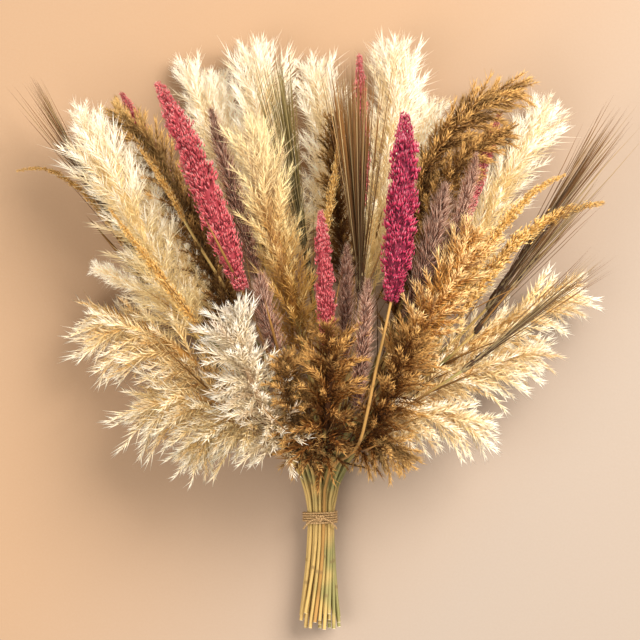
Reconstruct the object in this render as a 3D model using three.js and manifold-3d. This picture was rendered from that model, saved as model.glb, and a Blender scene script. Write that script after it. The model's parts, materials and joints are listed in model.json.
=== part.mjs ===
// A tied bundle of dried pampas grass with reed plumes, foxtails, dyed millet heads, bearded barley and
// slender grass spikes, lying on a surface. Units are millimetres, +Z is up, and +Y runs from the tie to the
// plume tips. The origin is the flat underside of the twine tie, on the surface that the bundle lies on.
import * as THREE from "three";
import { mergeVertices } from "three/addons/utils/BufferGeometryUtils.js";
import Module from "manifold-3d";

const wasm = await Module();
wasm.setup();
const { Manifold, Mesh: SolidMesh } = wasm;

// Driving sizes of the stalks
const STALK_RADIUS = 2.0; // at the corners of its section
const STALK_SIDES = 5;
const STALK_PITCH = 4.1; // from stalk to stalk where the twine gathers them
const GRIP_HALF = 13; // half the length over which the stalks run straight through the tie
const FLARE_END = 33; // where the stalks have opened gently past the tie and turn to their own heads
const FLARE = 1.28; // how much wider they stand there
const CUT_END = 116; // from the tie's middle to the cut ends
const CUT_END_SPREAD = 9; // how unevenly the ends are cut, each way
const CUT_END_FLARE = 1.5; // how much wider the stalks stand at the cut ends
const CUT_END_TWIST = 0.55; // turn of the stalks between the tie and the cut ends, in radians

// Driving sizes of the twine tie
const TWINE = 3.0; // thickness
const TWINE_TURNS = 5;
const TIE_SIDES = 12;
const TIE_CLEARANCE = 0.4; // between the twine and the outermost stalk
const KNOT_RADIUS = 4.4;
const TAIL_RADIUS = 1.4;
const TAIL_SIDES = 4;
const TAIL_STEPS = 4;

const SEAT_GAP = 0.3; // between pieces that touch
const SHORTEST_EDGE = 0.02; // shorter ones, where sprays cross, are closed up

// Where a stalk's rings lie, as shares of its run from the flare to the head's foot and of the head's length
const STEM_SHARES = [0.33, 0.68];
const HEAD_SHARES = [0, 0.25, 0.5, 0.78, 1];
const GRIP_LAST = 2; // the last ring that the tie holds, after the cut end and the near end of the grip
const HEAD_FIRST = GRIP_LAST + 2 + STEM_SHARES.length; // the ring at the head's foot
const LAST_RING = HEAD_FIRST + HEAD_SHARES.length - 1;

// Neighbours are first pressed apart gently, mostly in height, and then their cores are cleared of each other:
// share is how much of an overlap one round takes away, and sideways is the sideways part of the move.
const EASE_STAGES = [
  { by: "press", rounds: 120, gap: 1.0, share: 0.55, sideways: 0.3, smooth: 0.12 },
  { by: "clear", rounds: 160, gap: 0.5, share: 0.8, sideways: 1, smooth: 0.01 },
];
const EASE_MOST = 4.0; // the furthest that one round moves a point
const FLARE_FREEDOM = 0.7; // how freely the first ring past the tie is moved, against 1 for the rest
const CLEAR_MARGIN = 1.03; // on a core's radius, for the bends of its path

// What each kind of head looks like. core and press are the shares of the girth that the core fills and that
// neighbours are pressed out of. sprays is how many a head has, lean is their angle to the rachis in degrees,
// and root is how thick they start, in millimetres and as a share of the girth. swell is the outline of the
// head from foot to tip.
const KINDS = {
  pampas: { core: 0.27, press: 0.62, sprays: 22, lean: 27, root: [2.4, 0], swell: [0.3, 0.78, 1, 0.86, 0.3] },
  reed: { core: 0.2, press: 0.55, sprays: 18, lean: 38, root: [2.1, 0], swell: [0.45, 0.9, 1, 0.85, 0.4] },
  foxtail: { core: 0.42, press: 0.8, sprays: 13, lean: 33, root: [1.7, 0], swell: [0.35, 0.85, 1, 0.85, 0.35] },
  millet: { core: 0.6, press: 1, sprays: 20, lean: 36, root: [1.4, 0.24], swell: [0.5, 0.95, 1, 0.85, 0.35] },
  barley: { core: 0.75, press: 1, sprays: 10, lean: 7, root: [1, 0], swell: [0.7, 1, 1, 0.9, 0.6] },
  spike: { core: 0.6, press: 1, sprays: 9, lean: 32, root: [1.4, 0], swell: [0.5, 1, 1, 0.7, 0.3] },
};
const PLUME_KINDS = ["pampas", "reed"];
const FULL_GIRTH = 28; // a plume this thick or thicker has all of its kind's sprays
const SPRAY_REACH = 1.12; // how far a plume's sprays pass its outline, for its loose tips

// The colours that the bundle shows
const TONES = {
  cream_pampas: { color: "#eedfc0", roughness: 0.9 },
  golden_pampas: { color: "#c99d5b", roughness: 0.9 },
  brown_reed: { color: "#9a7443", roughness: 0.85 },
  cream_reed: { color: "#dcc392", roughness: 0.88 },
  gold_reed: { color: "#c48f45", roughness: 0.86 },
  plum_foxtail: { color: "#84655a", roughness: 0.92 },
  coral_millet: { color: "#c8525c", roughness: 0.75 },
  magenta_millet: { color: "#b22f58", roughness: 0.75 },
  dark_barley: { color: "#5d4632", roughness: 0.7 },
  gold_spike: { color: "#d09a4e", roughness: 0.8 },
  straw_stalk: { color: "#b79a5c", roughness: 0.6 },
  jute_twine: { color: "#a98455", roughness: 0.95 },
};

// Makers of one stalk's entry, one for each kind
function entryOf(kind) {
  return (tone, girth, foot, middle, tip, more) => ({ kind, tone, girth, foot, middle, tip, ...more });
}
const [pampas, reed, foxtail, millet, barley, spike] = Object.keys(KINDS).map(entryOf);

// The places in front of the brown reed plumes that the magenta millet's stalk passes over
const PAST_BROWN_REEDS = [
  [45, 98, 196],
  [61, 176, 228],
];

// The stalks by kind, each with its head's tone and greatest radius and the places of the head's foot, middle
// and tip. A reed plume that hangs over has the way its sprays hang, an ear of barley has how far its awns pass
// its tip, and a stalk that rises in front of other heads has the places that it passes over.
const STALKS = [
  pampas("cream_pampas", 38, [-150, 225, 110], [-222, 365, 125], [-275, 466, 110]),
  pampas("cream_pampas", 20, [-130, 245, 95], [-181, 349, 100], [-217, 425, 95]),
  pampas("cream_pampas", 19, [-98, 345, 32], [-132, 460, 22], [-156, 514, 10]),
  pampas("cream_pampas", 15, [-80, 350, 24], [-108, 450, 14], [-113, 504, 6]),
  pampas("cream_pampas", 33, [-38, 310, 48], [-64, 445, 42], [-76, 536, 34]),
  pampas("golden_pampas", 34, [-22, 205, 125], [-55, 335, 135], [-84, 445, 118]),
  pampas("cream_pampas", 20, [8, 330, 28], [3, 450, 19], [-20, 515, 10]),
  pampas("cream_pampas", 30, [55, 285, 55], [80, 440, 50], [82, 538, 38]),
  pampas("cream_pampas", 16, [80, 320, 24], [112, 425, 14], [130, 474, 6]),
  pampas("cream_pampas", 28, [150, 260, 60], [215, 390, 48], [265, 474, 34]),
  pampas("cream_pampas", 12, [-150, 222, 82], [-212, 262, 82], [-258, 282, 74]),
  reed("brown_reed", 22, [-105, 244, 95], [-170, 385, 98], [-238, 461, 90]),
  reed("brown_reed", 10, [27, 288, 88], [16, 390, 92], [19, 456, 88]),
  reed("brown_reed", 20, [95, 245, 95], [135, 420, 105], [242, 482, 92]),
  reed("brown_reed", 16, [105, 275, 118], [150, 390, 125], [222, 432, 112]),
  reed("cream_reed", 38, [-105, 140, 105], [-190, 212, 92], [-262, 228, 36], { hang: [-0.15, -0.75, -0.25] }),
  reed("cream_reed", 36, [-90, 118, 125], [-150, 138, 112], [-205, 118, 72], { hang: [-0.1, -0.6, -0.2] }),
  reed("cream_reed", 30, [-70, 110, 150], [-112, 108, 148], [-142, 60, 115], { hang: [0, -0.5, -0.2] }),
  reed("cream_reed", 34, [-48, 105, 155], [-80, 175, 188], [-92, 246, 190], { hang: [-0.1, -0.35, 0.1] }),
  reed("brown_reed", 24, [-20, 85, 150], [-32, 140, 182], [-40, 195, 192], { hang: [0, -0.4, 0.1] }),
  reed("brown_reed", 30, [5, 95, 170], [10, 165, 208], [6, 228, 218], { hang: [0, -0.4, 0.1] }),
  reed("brown_reed", 28, [50, 95, 162], [85, 160, 196], [100, 222, 200], { hang: [0.1, -0.35, 0.1] }),
  reed("brown_reed", 20, [45, 88, 148], [72, 86, 172], [94, 62, 160], { hang: [0.1, -0.4, 0] }),
  reed("cream_reed", 28, [75, 115, 142], [132, 118, 142], [188, 106, 106], { hang: [0.1, -0.5, -0.15] }),
  reed("cream_reed", 30, [100, 135, 118], [180, 172, 108], [250, 192, 66], { hang: [0.1, -0.4, -0.2] }),
  reed("cream_reed", 32, [135, 175, 98], [225, 230, 84], [290, 262, 32], { hang: [0.1, -0.3, -0.2] }),
  reed("gold_reed", 30, [100, 185, 160], [145, 262, 175], [178, 325, 165], { hang: [0.1, -0.1, 0.1] }),
  foxtail("plum_foxtail", 13, [-64, 255, 125], [-95, 360, 130], [-119, 451, 118]),
  foxtail("plum_foxtail", 11, [110, 225, 145], [150, 325, 155], [170, 400, 145]),
  foxtail("plum_foxtail", 14, [90, 215, 150], [120, 300, 160], [136, 366, 155]),
  foxtail("plum_foxtail", 13, [-38, 160, 150], [-58, 225, 165], [-64, 268, 162]),
  foxtail("plum_foxtail", 11, [38, 115, 175], [46, 195, 205], [51, 262, 205]),
  foxtail("plum_foxtail", 10, [25, 160, 140], [28, 240, 160], [29, 300, 160]),
  millet("coral_millet", 16, [-85, 255, 152], [-135, 390, 165], [-176, 478, 150]),
  millet("coral_millet", 9, [-160, 350, 60], [-190, 415, 62], [-221, 474, 58]),
  millet("coral_millet", 9, [46, 350, 78], [45, 440, 80], [44, 515, 76]),
  millet("coral_millet", 10, [9, 190, 165], [5, 270, 180], [1, 338, 175]),
  millet("coral_millet", 9, [140, 290, 72], [175, 380, 76], [200, 452, 70]),
  millet("magenta_millet", 17, [76, 242, 215], [88, 350, 225], [91, 440, 215], { over: PAST_BROWN_REEDS }),
  barley("dark_barley", 6, [-215, 315, 85], [-245, 360, 88], [-270, 404, 88], { awn: 92 }),
  barley("dark_barley", 6, [-190, 270, 70], [-225, 325, 72], [-252, 365, 70], { awn: 78 }),
  barley("dark_barley", 6, [-8, 255, 98], [-18, 310, 100], [-26, 365, 98], { awn: 155 }),
  barley("dark_barley", 7, [44, 240, 132], [43, 285, 135], [40, 330, 132], { awn: 142 }),
  barley("dark_barley", 6, [180, 230, 130], [215, 280, 130], [245, 325, 126], { awn: 150 }),
  barley("dark_barley", 6, [165, 205, 150], [205, 255, 150], [235, 290, 144], { awn: 103 }),
  barley("dark_barley", 6, [150, 165, 182], [190, 195, 178], [220, 220, 168], { awn: 105 }),
  spike("gold_spike", 4, [-187, 255, 62], [-268, 368, 62], [-338, 389, 52]),
  spike("gold_spike", 4, [-150, 330, 130], [-170, 368, 132], [-200, 412, 130]),
  spike("gold_spike", 5, [-125, 205, 170], [-185, 285, 180], [-228, 342, 172]),
  spike("gold_spike", 5, [0, 300, 132], [14, 365, 136], [20, 424, 130]),
  spike("gold_spike", 6, [150, 250, 180], [205, 338, 170], [264, 382, 146]),
  spike("gold_spike", 8, [150, 225, 165], [225, 315, 155], [310, 350, 130]),
];

const { lerp, clamp, degToRad } = THREE.MathUtils;
const vector = ([x, y, z]) => new THREE.Vector3(x, y, z);

// Places in the tie

// The places nearest the tie's axis in a close packing, from the lowest row up and left to right in a row.
function tieSlots(count) {
  const reachMost = Math.ceil(Math.sqrt(count));
  const rowHeight = (STALK_PITCH * Math.sqrt(3)) / 2;
  const slots = [];
  for (let row = -reachMost; row <= reachMost; row++)
    for (let column = -reachMost; column <= reachMost; column++) {
      const u = (column + (Math.abs(row) % 2) / 2) * STALK_PITCH;
      const v = row * rowHeight;
      const uneven = 0.3; // breaks the ties between places as far out as each other
      slots.push({ u, v, row, reach: Math.hypot(u - uneven, v - uneven / 3) });
    }
  slots.sort((a, b) => a.reach - b.reach);
  return slots.slice(0, count).sort((a, b) => a.row - b.row || a.u - b.u);
}

// How steeply a stalk rises from the tie, and how far to the right it goes, to where it first heads.
function headingOf({ over, foot }) {
  const [x, y, z] = over?.[0] ?? foot;
  return { rise: z / y, aside: x / y };
}

// Gives each stalk its place in the tie, the flattest stalks lowest and each row from left to right as the
// heads stand, and returns how far the outermost place lies from the tie's axis.
function seatInTie(stalks) {
  const slots = tieSlots(stalks.length);
  const byRise = [...stalks].sort((a, b) => headingOf(a).rise - headingOf(b).rise);
  for (const row of new Set(slots.map((slot) => slot.row))) {
    const places = slots.filter((slot) => slot.row === row);
    const chosen = byRise.splice(0, places.length);
    chosen.sort((a, b) => headingOf(a).aside - headingOf(b).aside);
    chosen.forEach((stalk, i) => (stalk.slot = places[i]));
  }
  return Math.max(...slots.map((slot) => Math.hypot(slot.u, slot.v)));
}

const slotReach = seatInTie(STALKS);
const tieInner = (slotReach + STALK_RADIUS + TIE_CLEARANCE) / Math.cos(Math.PI / TIE_SIDES);
const tieOuter = tieInner + TWINE;
const TIE_AXIS = tieOuter * Math.cos(Math.PI / TIE_SIDES); // height of the tie's axis above the surface

// Paths of the stalks

// The rings of a stalk from its cut end to the tip of its head, before its neighbours bend it.
function layStalk(stalk, index) {
  const { u, v } = stalk.slot;
  const turned = new THREE.Vector2(u, v).rotateAround(new THREE.Vector2(), CUT_END_TWIST);
  turned.multiplyScalar(CUT_END_FLARE);
  const endAxis = slotReach * CUT_END_FLARE + STALK_RADIUS * 1.2;
  const endY = -CUT_END + CUT_END_SPREAD * Math.sin(index * 2.4);
  const end = new THREE.Vector3(turned.x, endY, endAxis + turned.y);
  const grip = [-GRIP_HALF, GRIP_HALF].map((y) => new THREE.Vector3(u, y, TIE_AXIS + v));
  const flared = new THREE.Vector3(u * FLARE, FLARE_END, TIE_AXIS + v * FLARE);
  const foot = vector(stalk.foot);
  const beforeFoot = foot.clone().lerp(vector(stalk.middle), -0.4);
  const afterFlare = flared.clone().sub(grip[1]).normalize();
  afterFlare.multiplyScalar(0.25 * flared.distanceTo(foot)).add(flared);
  const stem = new THREE.CubicBezierCurve3(flared, afterFlare, beforeFoot, foot);
  const head = [foot, vector(stalk.middle), vector(stalk.tip)];
  const rings = [end, ...grip, flared];
  rings.push(...(stalk.over?.map(vector) ?? STEM_SHARES.map((share) => stem.getPoint(share))));
  for (const share of HEAD_SHARES) rings.push(arcThrough(head, share));
  return rings;
}

// The place at a share of the curve from the first point to the third that is halfway at the second.
function arcThrough([from, middle, to], share) {
  const point = from.clone().multiplyScalar((1 - share) * (1 - 2 * share));
  point.addScaledVector(middle, 4 * share * (1 - share));
  return point.addScaledVector(to, share * (2 * share - 1));
}

// The core's radius at each ring: the stalk's own up to the head's foot, then the head's swelling.
function coreRadii({ kind, girth }) {
  const { core, swell } = KINDS[kind];
  const head = swell.map((share) => Math.max(girth * core * share, STALK_RADIUS * 0.7));
  head[0] = STALK_RADIUS;
  return [...Array(HEAD_FIRST).fill(STALK_RADIUS), ...head];
}

// The radius at each ring that neighbours are pressed out of.
function pressRadii(stalk, core) {
  const { press, swell } = KINDS[stalk.kind];
  const shares = [...Array(HEAD_FIRST).fill(0), ...swell];
  return core.map((radius, i) => Math.max(radius + 0.4, stalk.girth * press * shares[i]));
}

// A stalk with its rings laid and its radii worked out.
function preparedStalk(stalk, index) {
  const core = coreRadii(stalk);
  const press = pressRadii(stalk, core);
  const clear = core.map((radius) => radius * CLEAR_MARGIN);
  const floor = press.map((radius, i) => 1 + (i < HEAD_FIRST ? core[i] : Math.max(core[i], radius * 0.85)));
  return { ...stalk, core, press, clear, floor, rings: layStalk(stalk, index), sprays: [] };
}

// Easing the stalks apart

// Where two segments are closest, as shares along each. Each is given by its start and its run.
function closestShares(start, run, otherStart, otherRun) {
  const between = start.clone().sub(otherStart);
  const a = Math.max(run.dot(run), 1e-9);
  const e = Math.max(otherRun.dot(otherRun), 1e-9);
  const f = otherRun.dot(between);
  const c = run.dot(between);
  const b = run.dot(otherRun);
  const denominator = a * e - b * b;
  let share = denominator > 1e-9 ? clamp((b * f - c * e) / denominator, 0, 1) : 0.5;
  let otherShare = (b * share + f) / e;
  if (otherShare < 0 || otherShare > 1) {
    otherShare = clamp(otherShare, 0, 1);
    share = clamp((b * otherShare - c) / a, 0, 1);
  }
  return [share, otherShare];
}

// Whether the boxes of two segments are further apart than a distance on some axis.
function apartByBox([a, b], [c, d], distance) {
  return ["x", "y", "z"].some((axis) => {
    const below = Math.min(c[axis], d[axis]) - Math.max(a[axis], b[axis]);
    const above = Math.min(a[axis], b[axis]) - Math.max(c[axis], d[axis]);
    return Math.max(below, above) > distance;
  });
}

// The segment of a stalk after one of its rings, with the radii of the given sort at both ends.
function segmentOf(stalk, ring, sort) {
  return { ends: stalk.rings.slice(ring, ring + 2), radii: stalk[sort].slice(ring, ring + 2) };
}

// How deep two round segments reach into each other, with a gap counted as reach, and which way and where.
function overlapOf(one, other, gap) {
  if (apartByBox(one.ends, other.ends, Math.max(...one.radii) + Math.max(...other.radii) + gap)) return null;
  const run = one.ends[1].clone().sub(one.ends[0]);
  const otherRun = other.ends[1].clone().sub(other.ends[0]);
  const [share, otherShare] = closestShares(one.ends[0], run, other.ends[0], otherRun);
  const away = one.ends[0].clone().addScaledVector(run, share);
  away.sub(other.ends[0]).addScaledVector(otherRun, -otherShare);
  const reach = lerp(...one.radii, share) + lerp(...other.radii, otherShare) + gap;
  const distance = away.length();
  if (distance >= reach) return null;
  if (distance < 1e-6) away.set(0, 0, 1);
  return { away: away.normalize(), depth: reach - distance, share, otherShare };
}

// Adds to the pushes of two stalks where they come closer than their radii.
function pushPair(stage, one, other, pushOne, pushOther) {
  for (let k = GRIP_LAST; k < LAST_RING; k++)
    for (let l = GRIP_LAST; l < LAST_RING; l++) {
      const overlap = overlapOf(segmentOf(one, k, stage.by), segmentOf(other, l, stage.by), stage.gap);
      if (!overlap) continue;
      const { away, depth, share, otherShare } = overlap;
      away.multiplyScalar(depth * 0.5 * stage.share);
      away.x *= stage.sideways;
      away.y *= stage.sideways;
      pushOne[k].addScaledVector(away, 1 - share);
      pushOne[k + 1].addScaledVector(away, share);
      pushOther[l].addScaledVector(away, otherShare - 1);
      pushOther[l + 1].addScaledVector(away, -otherShare);
    }
}

// How freely a ring moves: not at all from the cut end to the tie, and less than the rest just past the tie.
function freedom(ring) {
  if (ring <= GRIP_LAST) return 0;
  return ring === GRIP_LAST + 1 ? FLARE_FREEDOM : 1;
}

// Moves a stalk's rings by their pushes, smooths the bend that this gives and keeps them above the surface.
function moveRings(stage, stalk, start, push) {
  stalk.rings.forEach((ring, k) => ring.addScaledVector(push[k].clampLength(0, EASE_MOST), freedom(k)));
  const bends = stalk.rings.map((ring, k) => ring.clone().sub(start[k]));
  for (let k = GRIP_LAST + 1; k <= LAST_RING; k++) {
    const neighbours = bends[k - 1].clone().add(bends[Math.min(k + 1, LAST_RING)]);
    const smoothing = neighbours.multiplyScalar(0.5).sub(bends[k]);
    stalk.rings[k].addScaledVector(smoothing, stage.smooth * freedom(k));
    stalk.rings[k].z = Math.max(stalk.rings[k].z, stalk.floor[k]);
  }
}

// Bends the stalks clear of each other, a little in each round.
function easeApart(stalks) {
  const start = stalks.map((stalk) => stalk.rings.map((ring) => ring.clone()));
  for (const stage of EASE_STAGES)
    for (let round = 0; round < stage.rounds; round++) {
      const push = stalks.map((stalk) => stalk.rings.map(() => new THREE.Vector3()));
      for (let i = 0; i < stalks.length; i++)
        for (let j = i + 1; j < stalks.length; j++) pushPair(stage, stalks[i], stalks[j], push[i], push[j]);
      stalks.forEach((stalk, i) => moveRings(stage, stalk, start[i], push[i]));
    }
}

// Sprays of the heads

const GOLDEN_ANGLE = Math.PI * (3 - Math.sqrt(5));
const TURN_TRIES = [0, 0.45, -0.45, 0.9, -0.9, 1.35, -1.35];
const LENGTH_TRIES = [1, 0.8, 0.62];
const SHORTEST_SPRAY = 5; // past the core
const SPRAY_CLEARANCE = 0.45; // between a spray and what it passes
const ROOT_MOST = 1.15; // a spray's root against the core that it stands in

// The direction along the path at each ring, and two directions square to it.
function ringFrames(rings) {
  let side = new THREE.Vector3(1, 0, 0);
  return rings.map((ring, k) => {
    const along = rings[Math.min(k + 1, LAST_RING)].clone().sub(rings[Math.max(k - 1, 0)]).normalize();
    side = side.clone().addScaledVector(along, -side.dot(along)).normalize();
    return { along, side, up: new THREE.Vector3().crossVectors(along, side) };
  });
}

// The place, directions and radii at a share of the head's length.
function headPlace(stalk, share) {
  const reach = share * (HEAD_SHARES.length - 1);
  const step = Math.min(Math.floor(reach), HEAD_SHARES.length - 2);
  const mix = reach - step;
  const ring = HEAD_FIRST + step;
  const [frame, next] = [stalk.frames[ring], stalk.frames[ring + 1]];
  const { swell } = KINDS[stalk.kind];
  const blend = (name) => frame[name].clone().lerp(next[name], mix).normalize();
  return {
    point: stalk.rings[ring].clone().lerp(stalk.rings[ring + 1], mix),
    along: blend("along"),
    side: blend("side"),
    up: blend("up"),
    core: lerp(stalk.core[ring], stalk.core[ring + 1], mix),
    swell: lerp(swell[step], swell[step + 1], mix),
  };
}

// How many sprays a head has: fewer on a slender plume.
function sprayCount({ kind, girth }) {
  const full = KINDS[kind].sprays;
  return PLUME_KINDS.includes(kind) ? Math.round(full * Math.min(1, girth / FULL_GIRTH)) : full;
}

// The direction square to the path that a spray stands out in, by the golden angle from spray to spray.
function outward({ side, up }, order, turn) {
  const angle = order * GOLDEN_ANGLE + turn;
  return side.clone().multiplyScalar(Math.cos(angle)).addScaledVector(up, Math.sin(angle));
}

// A needle from a place on the rachis to a tip that stays above the surface.
function needleTo(stalk, place, tip) {
  const [base, share] = KINDS[stalk.kind].root;
  tip.z = Math.max(tip.z, 0);
  const root = Math.min(base + share * stalk.girth, place.core * ROOT_MOST);
  return { ends: [place.point, tip], radii: [root, 0], core: place.core };
}

// One spray of a head, from the rachis out to the head's outline.
function sprayAt(stalk, order, turn, shorten) {
  const place = headPlace(stalk, 0.03 + (0.94 * (order + 0.5)) / sprayCount(stalk));
  const lean = degToRad(KINDS[stalk.kind].lean);
  const direction = place.along.clone().multiplyScalar(Math.cos(lean));
  direction.addScaledVector(outward(place, order, turn), Math.sin(lean));
  if (stalk.hang) direction.add(vector(stalk.hang)).normalize();
  const reach = PLUME_KINDS.includes(stalk.kind) ? SPRAY_REACH : 1;
  const length = ((stalk.girth * place.swell) / Math.sin(lean)) * reach * shorten;
  return needleTo(stalk, place, place.point.clone().addScaledVector(direction, length));
}

// One awn of an ear of barley, from inside the ear to its place in the brush past the ear's tip.
function awnAt(stalk, order, turn, shorten) {
  const place = headPlace(stalk, 0.2 + (0.7 * order) / sprayCount(stalk));
  const end = headPlace(stalk, 1);
  const spread = stalk.awn * Math.tan(degToRad(KINDS[stalk.kind].lean)) * lerp(0.45, 1, (order % 4) / 3);
  const reach = stalk.awn * shorten * lerp(0.8, 1, (order % 3) / 2);
  const tip = end.point.clone().addScaledVector(end.along, reach);
  return needleTo(stalk, place, tip.addScaledVector(outward(end, order, turn), spread));
}

// Whether a needle keeps clear of the tie, of every other stalk and of the sprays that stand already.
function standsClear(stalk, needle) {
  if (needle.ends[1].y < GRIP_HALF + 10) return false;
  return stalks.every((other) => {
    if (other === stalk) return true;
    for (let k = 0; k < LAST_RING; k++)
      if (overlapOf(needle, segmentOf(other, k, "clear"), SPRAY_CLEARANCE)) return false;
    return !other.sprays.some((spray) => overlapOf(needle, spray, SPRAY_CLEARANCE));
  });
}

// The first of the turned and shortened forms of a spray that stands clear, if any does.
function firstClear(stalk, order) {
  const make = stalk.awn ? awnAt : sprayAt;
  for (const shorten of LENGTH_TRIES)
    for (const turn of TURN_TRIES) {
      const spray = make(stalk, order, turn, shorten);
      const length = spray.ends[0].distanceTo(spray.ends[1]);
      if (length > spray.core + SHORTEST_SPRAY && standsClear(stalk, spray)) return spray;
    }
  return null;
}

// Grows the heads spray by spray in turns, so that each gets its share of the room between them.
function growSprays(stalks) {
  const most = Math.max(...stalks.map(sprayCount));
  for (let order = 0; order < most; order++)
    for (const stalk of stalks) {
      const spray = order < sprayCount(stalk) && firstClear(stalk, order);
      if (spray) stalk.sprays.push(spray);
    }
}

// Solids

// A closed geometry as a solid that can be joined and cut.
function solidOf(geometry) {
  geometry.deleteAttribute("normal");
  geometry.deleteAttribute("uv");
  const merged = mergeVertices(geometry, 1e-4);
  const vertProperties = merged.attributes.position.array;
  const triVerts = new Uint32Array(merged.index.array);
  return new Manifold(new SolidMesh({ numProp: 3, vertProperties, triVerts }));
}

// A solid's surface as a geometry.
function geometryOf(solid) {
  const mesh = solid.getMesh();
  const geometry = new THREE.BufferGeometry();
  geometry.setAttribute("position", new THREE.BufferAttribute(mesh.vertProperties, 3));
  geometry.setIndex(new THREE.BufferAttribute(mesh.triVerts, 1));
  geometry.computeVertexNormals();
  return geometry;
}

// A rod with closed ends through rings that each have a place, two directions square to the path and a radius.
function rodThrough(rings, sides) {
  const steps = rings.length - 1;
  const rod = new THREE.CylinderGeometry(1, 1, 1, sides, steps);
  const { position } = rod.attributes;
  for (let i = 0; i < position.count; i++) {
    const { point, side, up, radius } = rings[Math.round((0.5 - position.getY(i)) * steps)];
    const corner = point.clone().addScaledVector(side, position.getX(i) * radius);
    corner.addScaledVector(up, position.getZ(i) * radius);
    position.setXYZ(i, corner.x, corner.y, corner.z);
  }
  return solidOf(rod);
}

// The rod through a stalk's rings first to last, as thick at each as its core.
function stalkRod(stalk, first, last) {
  const rings = stalk.rings.map((point, k) => ({ point, ...stalk.frames[k], radius: stalk.core[k] }));
  return rodThrough(rings.slice(first, last + 1), STALK_SIDES);
}

// A three-sided needle from its root to its tip.
function needleSolid({ ends: [from, to], radii: [root] }) {
  const run = to.clone().sub(from);
  const needle = new THREE.ConeGeometry(root, run.length(), 3, 1);
  needle.translate(0, run.length() / 2, 0);
  const turn = new THREE.Quaternion().setFromUnitVectors(new THREE.Vector3(0, 1, 0), run.normalize());
  return solidOf(needle.applyQuaternion(turn).translate(from.x, from.y, from.z));
}

// The turns of twine round the stalks, as one ring with a rounded outside for each turn.
function twineRing() {
  const half = (TWINE_TURNS * TWINE) / 2;
  const valley = tieInner + TWINE * 0.6;
  const points = [[tieInner, -half + 0.4]];
  for (let turn = 0; turn < TWINE_TURNS; turn++) {
    const from = -half + turn * TWINE;
    points.push([valley, from], [tieOuter, from + TWINE * 0.28], [tieOuter, from + TWINE * 0.72]);
  }
  points.push([valley, half], [tieInner, half - 0.4], points[0]);
  const profile = points.map(([radius, y]) => new THREE.Vector2(radius, y));
  return solidOf(new THREE.LatheGeometry(profile, TIE_SIDES, Math.PI / TIE_SIDES).translate(0, 0, TIE_AXIS));
}

// A place round the tie, by its angle from the top, its place along the stalks and its height off the twine.
function roundTie(degrees, y, height) {
  const angle = degToRad(degrees);
  const radius = tieOuter + height;
  return new THREE.Vector3(radius * Math.sin(angle), y, TIE_AXIS + radius * Math.cos(angle));
}

// One loose end of the twine, which leaves the knot and lies over the tie's shoulder.
function twineTail(hand) {
  const route = [[0, 0, 1.6], [22, -2, 2.6], [40, -6, 3.4], [56, -11, 3.6]];
  const points = route.map(([degrees, y, height]) => roundTie(degrees * hand, y, height));
  const path = new THREE.CatmullRomCurve3(points);
  const rings = [];
  for (let step = 0; step <= TAIL_STEPS; step++) {
    const along = path.getTangent(step / TAIL_STEPS);
    const side = new THREE.Vector3(0, 1, 0).addScaledVector(along, -along.y).normalize();
    const up = new THREE.Vector3().crossVectors(along, side);
    rings.push({ point: path.getPoint(step / TAIL_STEPS), side, up, radius: TAIL_RADIUS });
  }
  return rodThrough(rings, TAIL_SIDES);
}

// The knot that holds the twine, flattened on the top of the tie.
function twineKnot() {
  const knot = new THREE.SphereGeometry(KNOT_RADIUS, 7, 5).scale(1.25, 1, 0.75);
  const { x, y, z } = roundTie(0, 0, KNOT_RADIUS * 0.3);
  return solidOf(knot.translate(x, y, z));
}

// The bundle

const PIECE_NAMES = {
  pampas: "pampas_plume",
  reed: "reed_plume",
  foxtail: "foxtail",
  millet: "millet_head",
  barley: "bearded_barley",
  spike: "slender_spike",
};

const materials = {};
for (const [name, tone] of Object.entries(TONES))
  materials[name] = new THREE.MeshStandardMaterial({ name, metalness: 0, ...tone });

const bundle = new THREE.Group();

// Adds one piece to the bundle, joined from the given solids.
function addPiece(name, solids, tone) {
  const mesh = new THREE.Mesh(geometryOf(Manifold.union(solids).simplify(SHORTEST_EDGE)), materials[tone]);
  mesh.name = name;
  bundle.add(mesh);
}

// Adds a stalk that grew in one piece with its head.
function addGrownStalk(stalk, number) {
  const solids = [stalkRod(stalk, 0, LAST_RING), ...stalk.sprays.map(needleSolid)];
  addPiece(`${PIECE_NAMES[stalk.kind]}_${number}`, solids, stalk.tone);
}

// Adds a dyed head and its straw stalk, two colours and so two pieces, which meet end to end.
function addDyedStalk(stalk, number) {
  const { along } = stalk.frames[HEAD_FIRST];
  const stemRings = [...stalk.rings];
  stemRings[HEAD_FIRST] = stalk.rings[HEAD_FIRST].clone().addScaledVector(along, -SEAT_GAP);
  const stem = stalkRod({ ...stalk, rings: stemRings }, 0, HEAD_FIRST);
  addPiece(`millet_stalk_${number}`, [stem], "straw_stalk");
  const solids = [stalkRod(stalk, HEAD_FIRST, LAST_RING), ...stalk.sprays.map(needleSolid)];
  addPiece(`millet_head_${number}`, solids, stalk.tone);
}

const stalks = STALKS.map(preparedStalk);
easeApart(stalks);
for (const stalk of stalks) stalk.frames = ringFrames(stalk.rings);
growSprays(stalks);

const numbers = {};
for (const stalk of stalks) {
  numbers[stalk.kind] = (numbers[stalk.kind] ?? 0) + 1;
  const add = stalk.kind === "millet" ? addDyedStalk : addGrownStalk;
  add(stalk, numbers[stalk.kind]);
}
addPiece("twine_tie", [twineRing(), twineKnot(), twineTail(1), twineTail(-1)], "jute_twine");

export default bundle;
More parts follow.
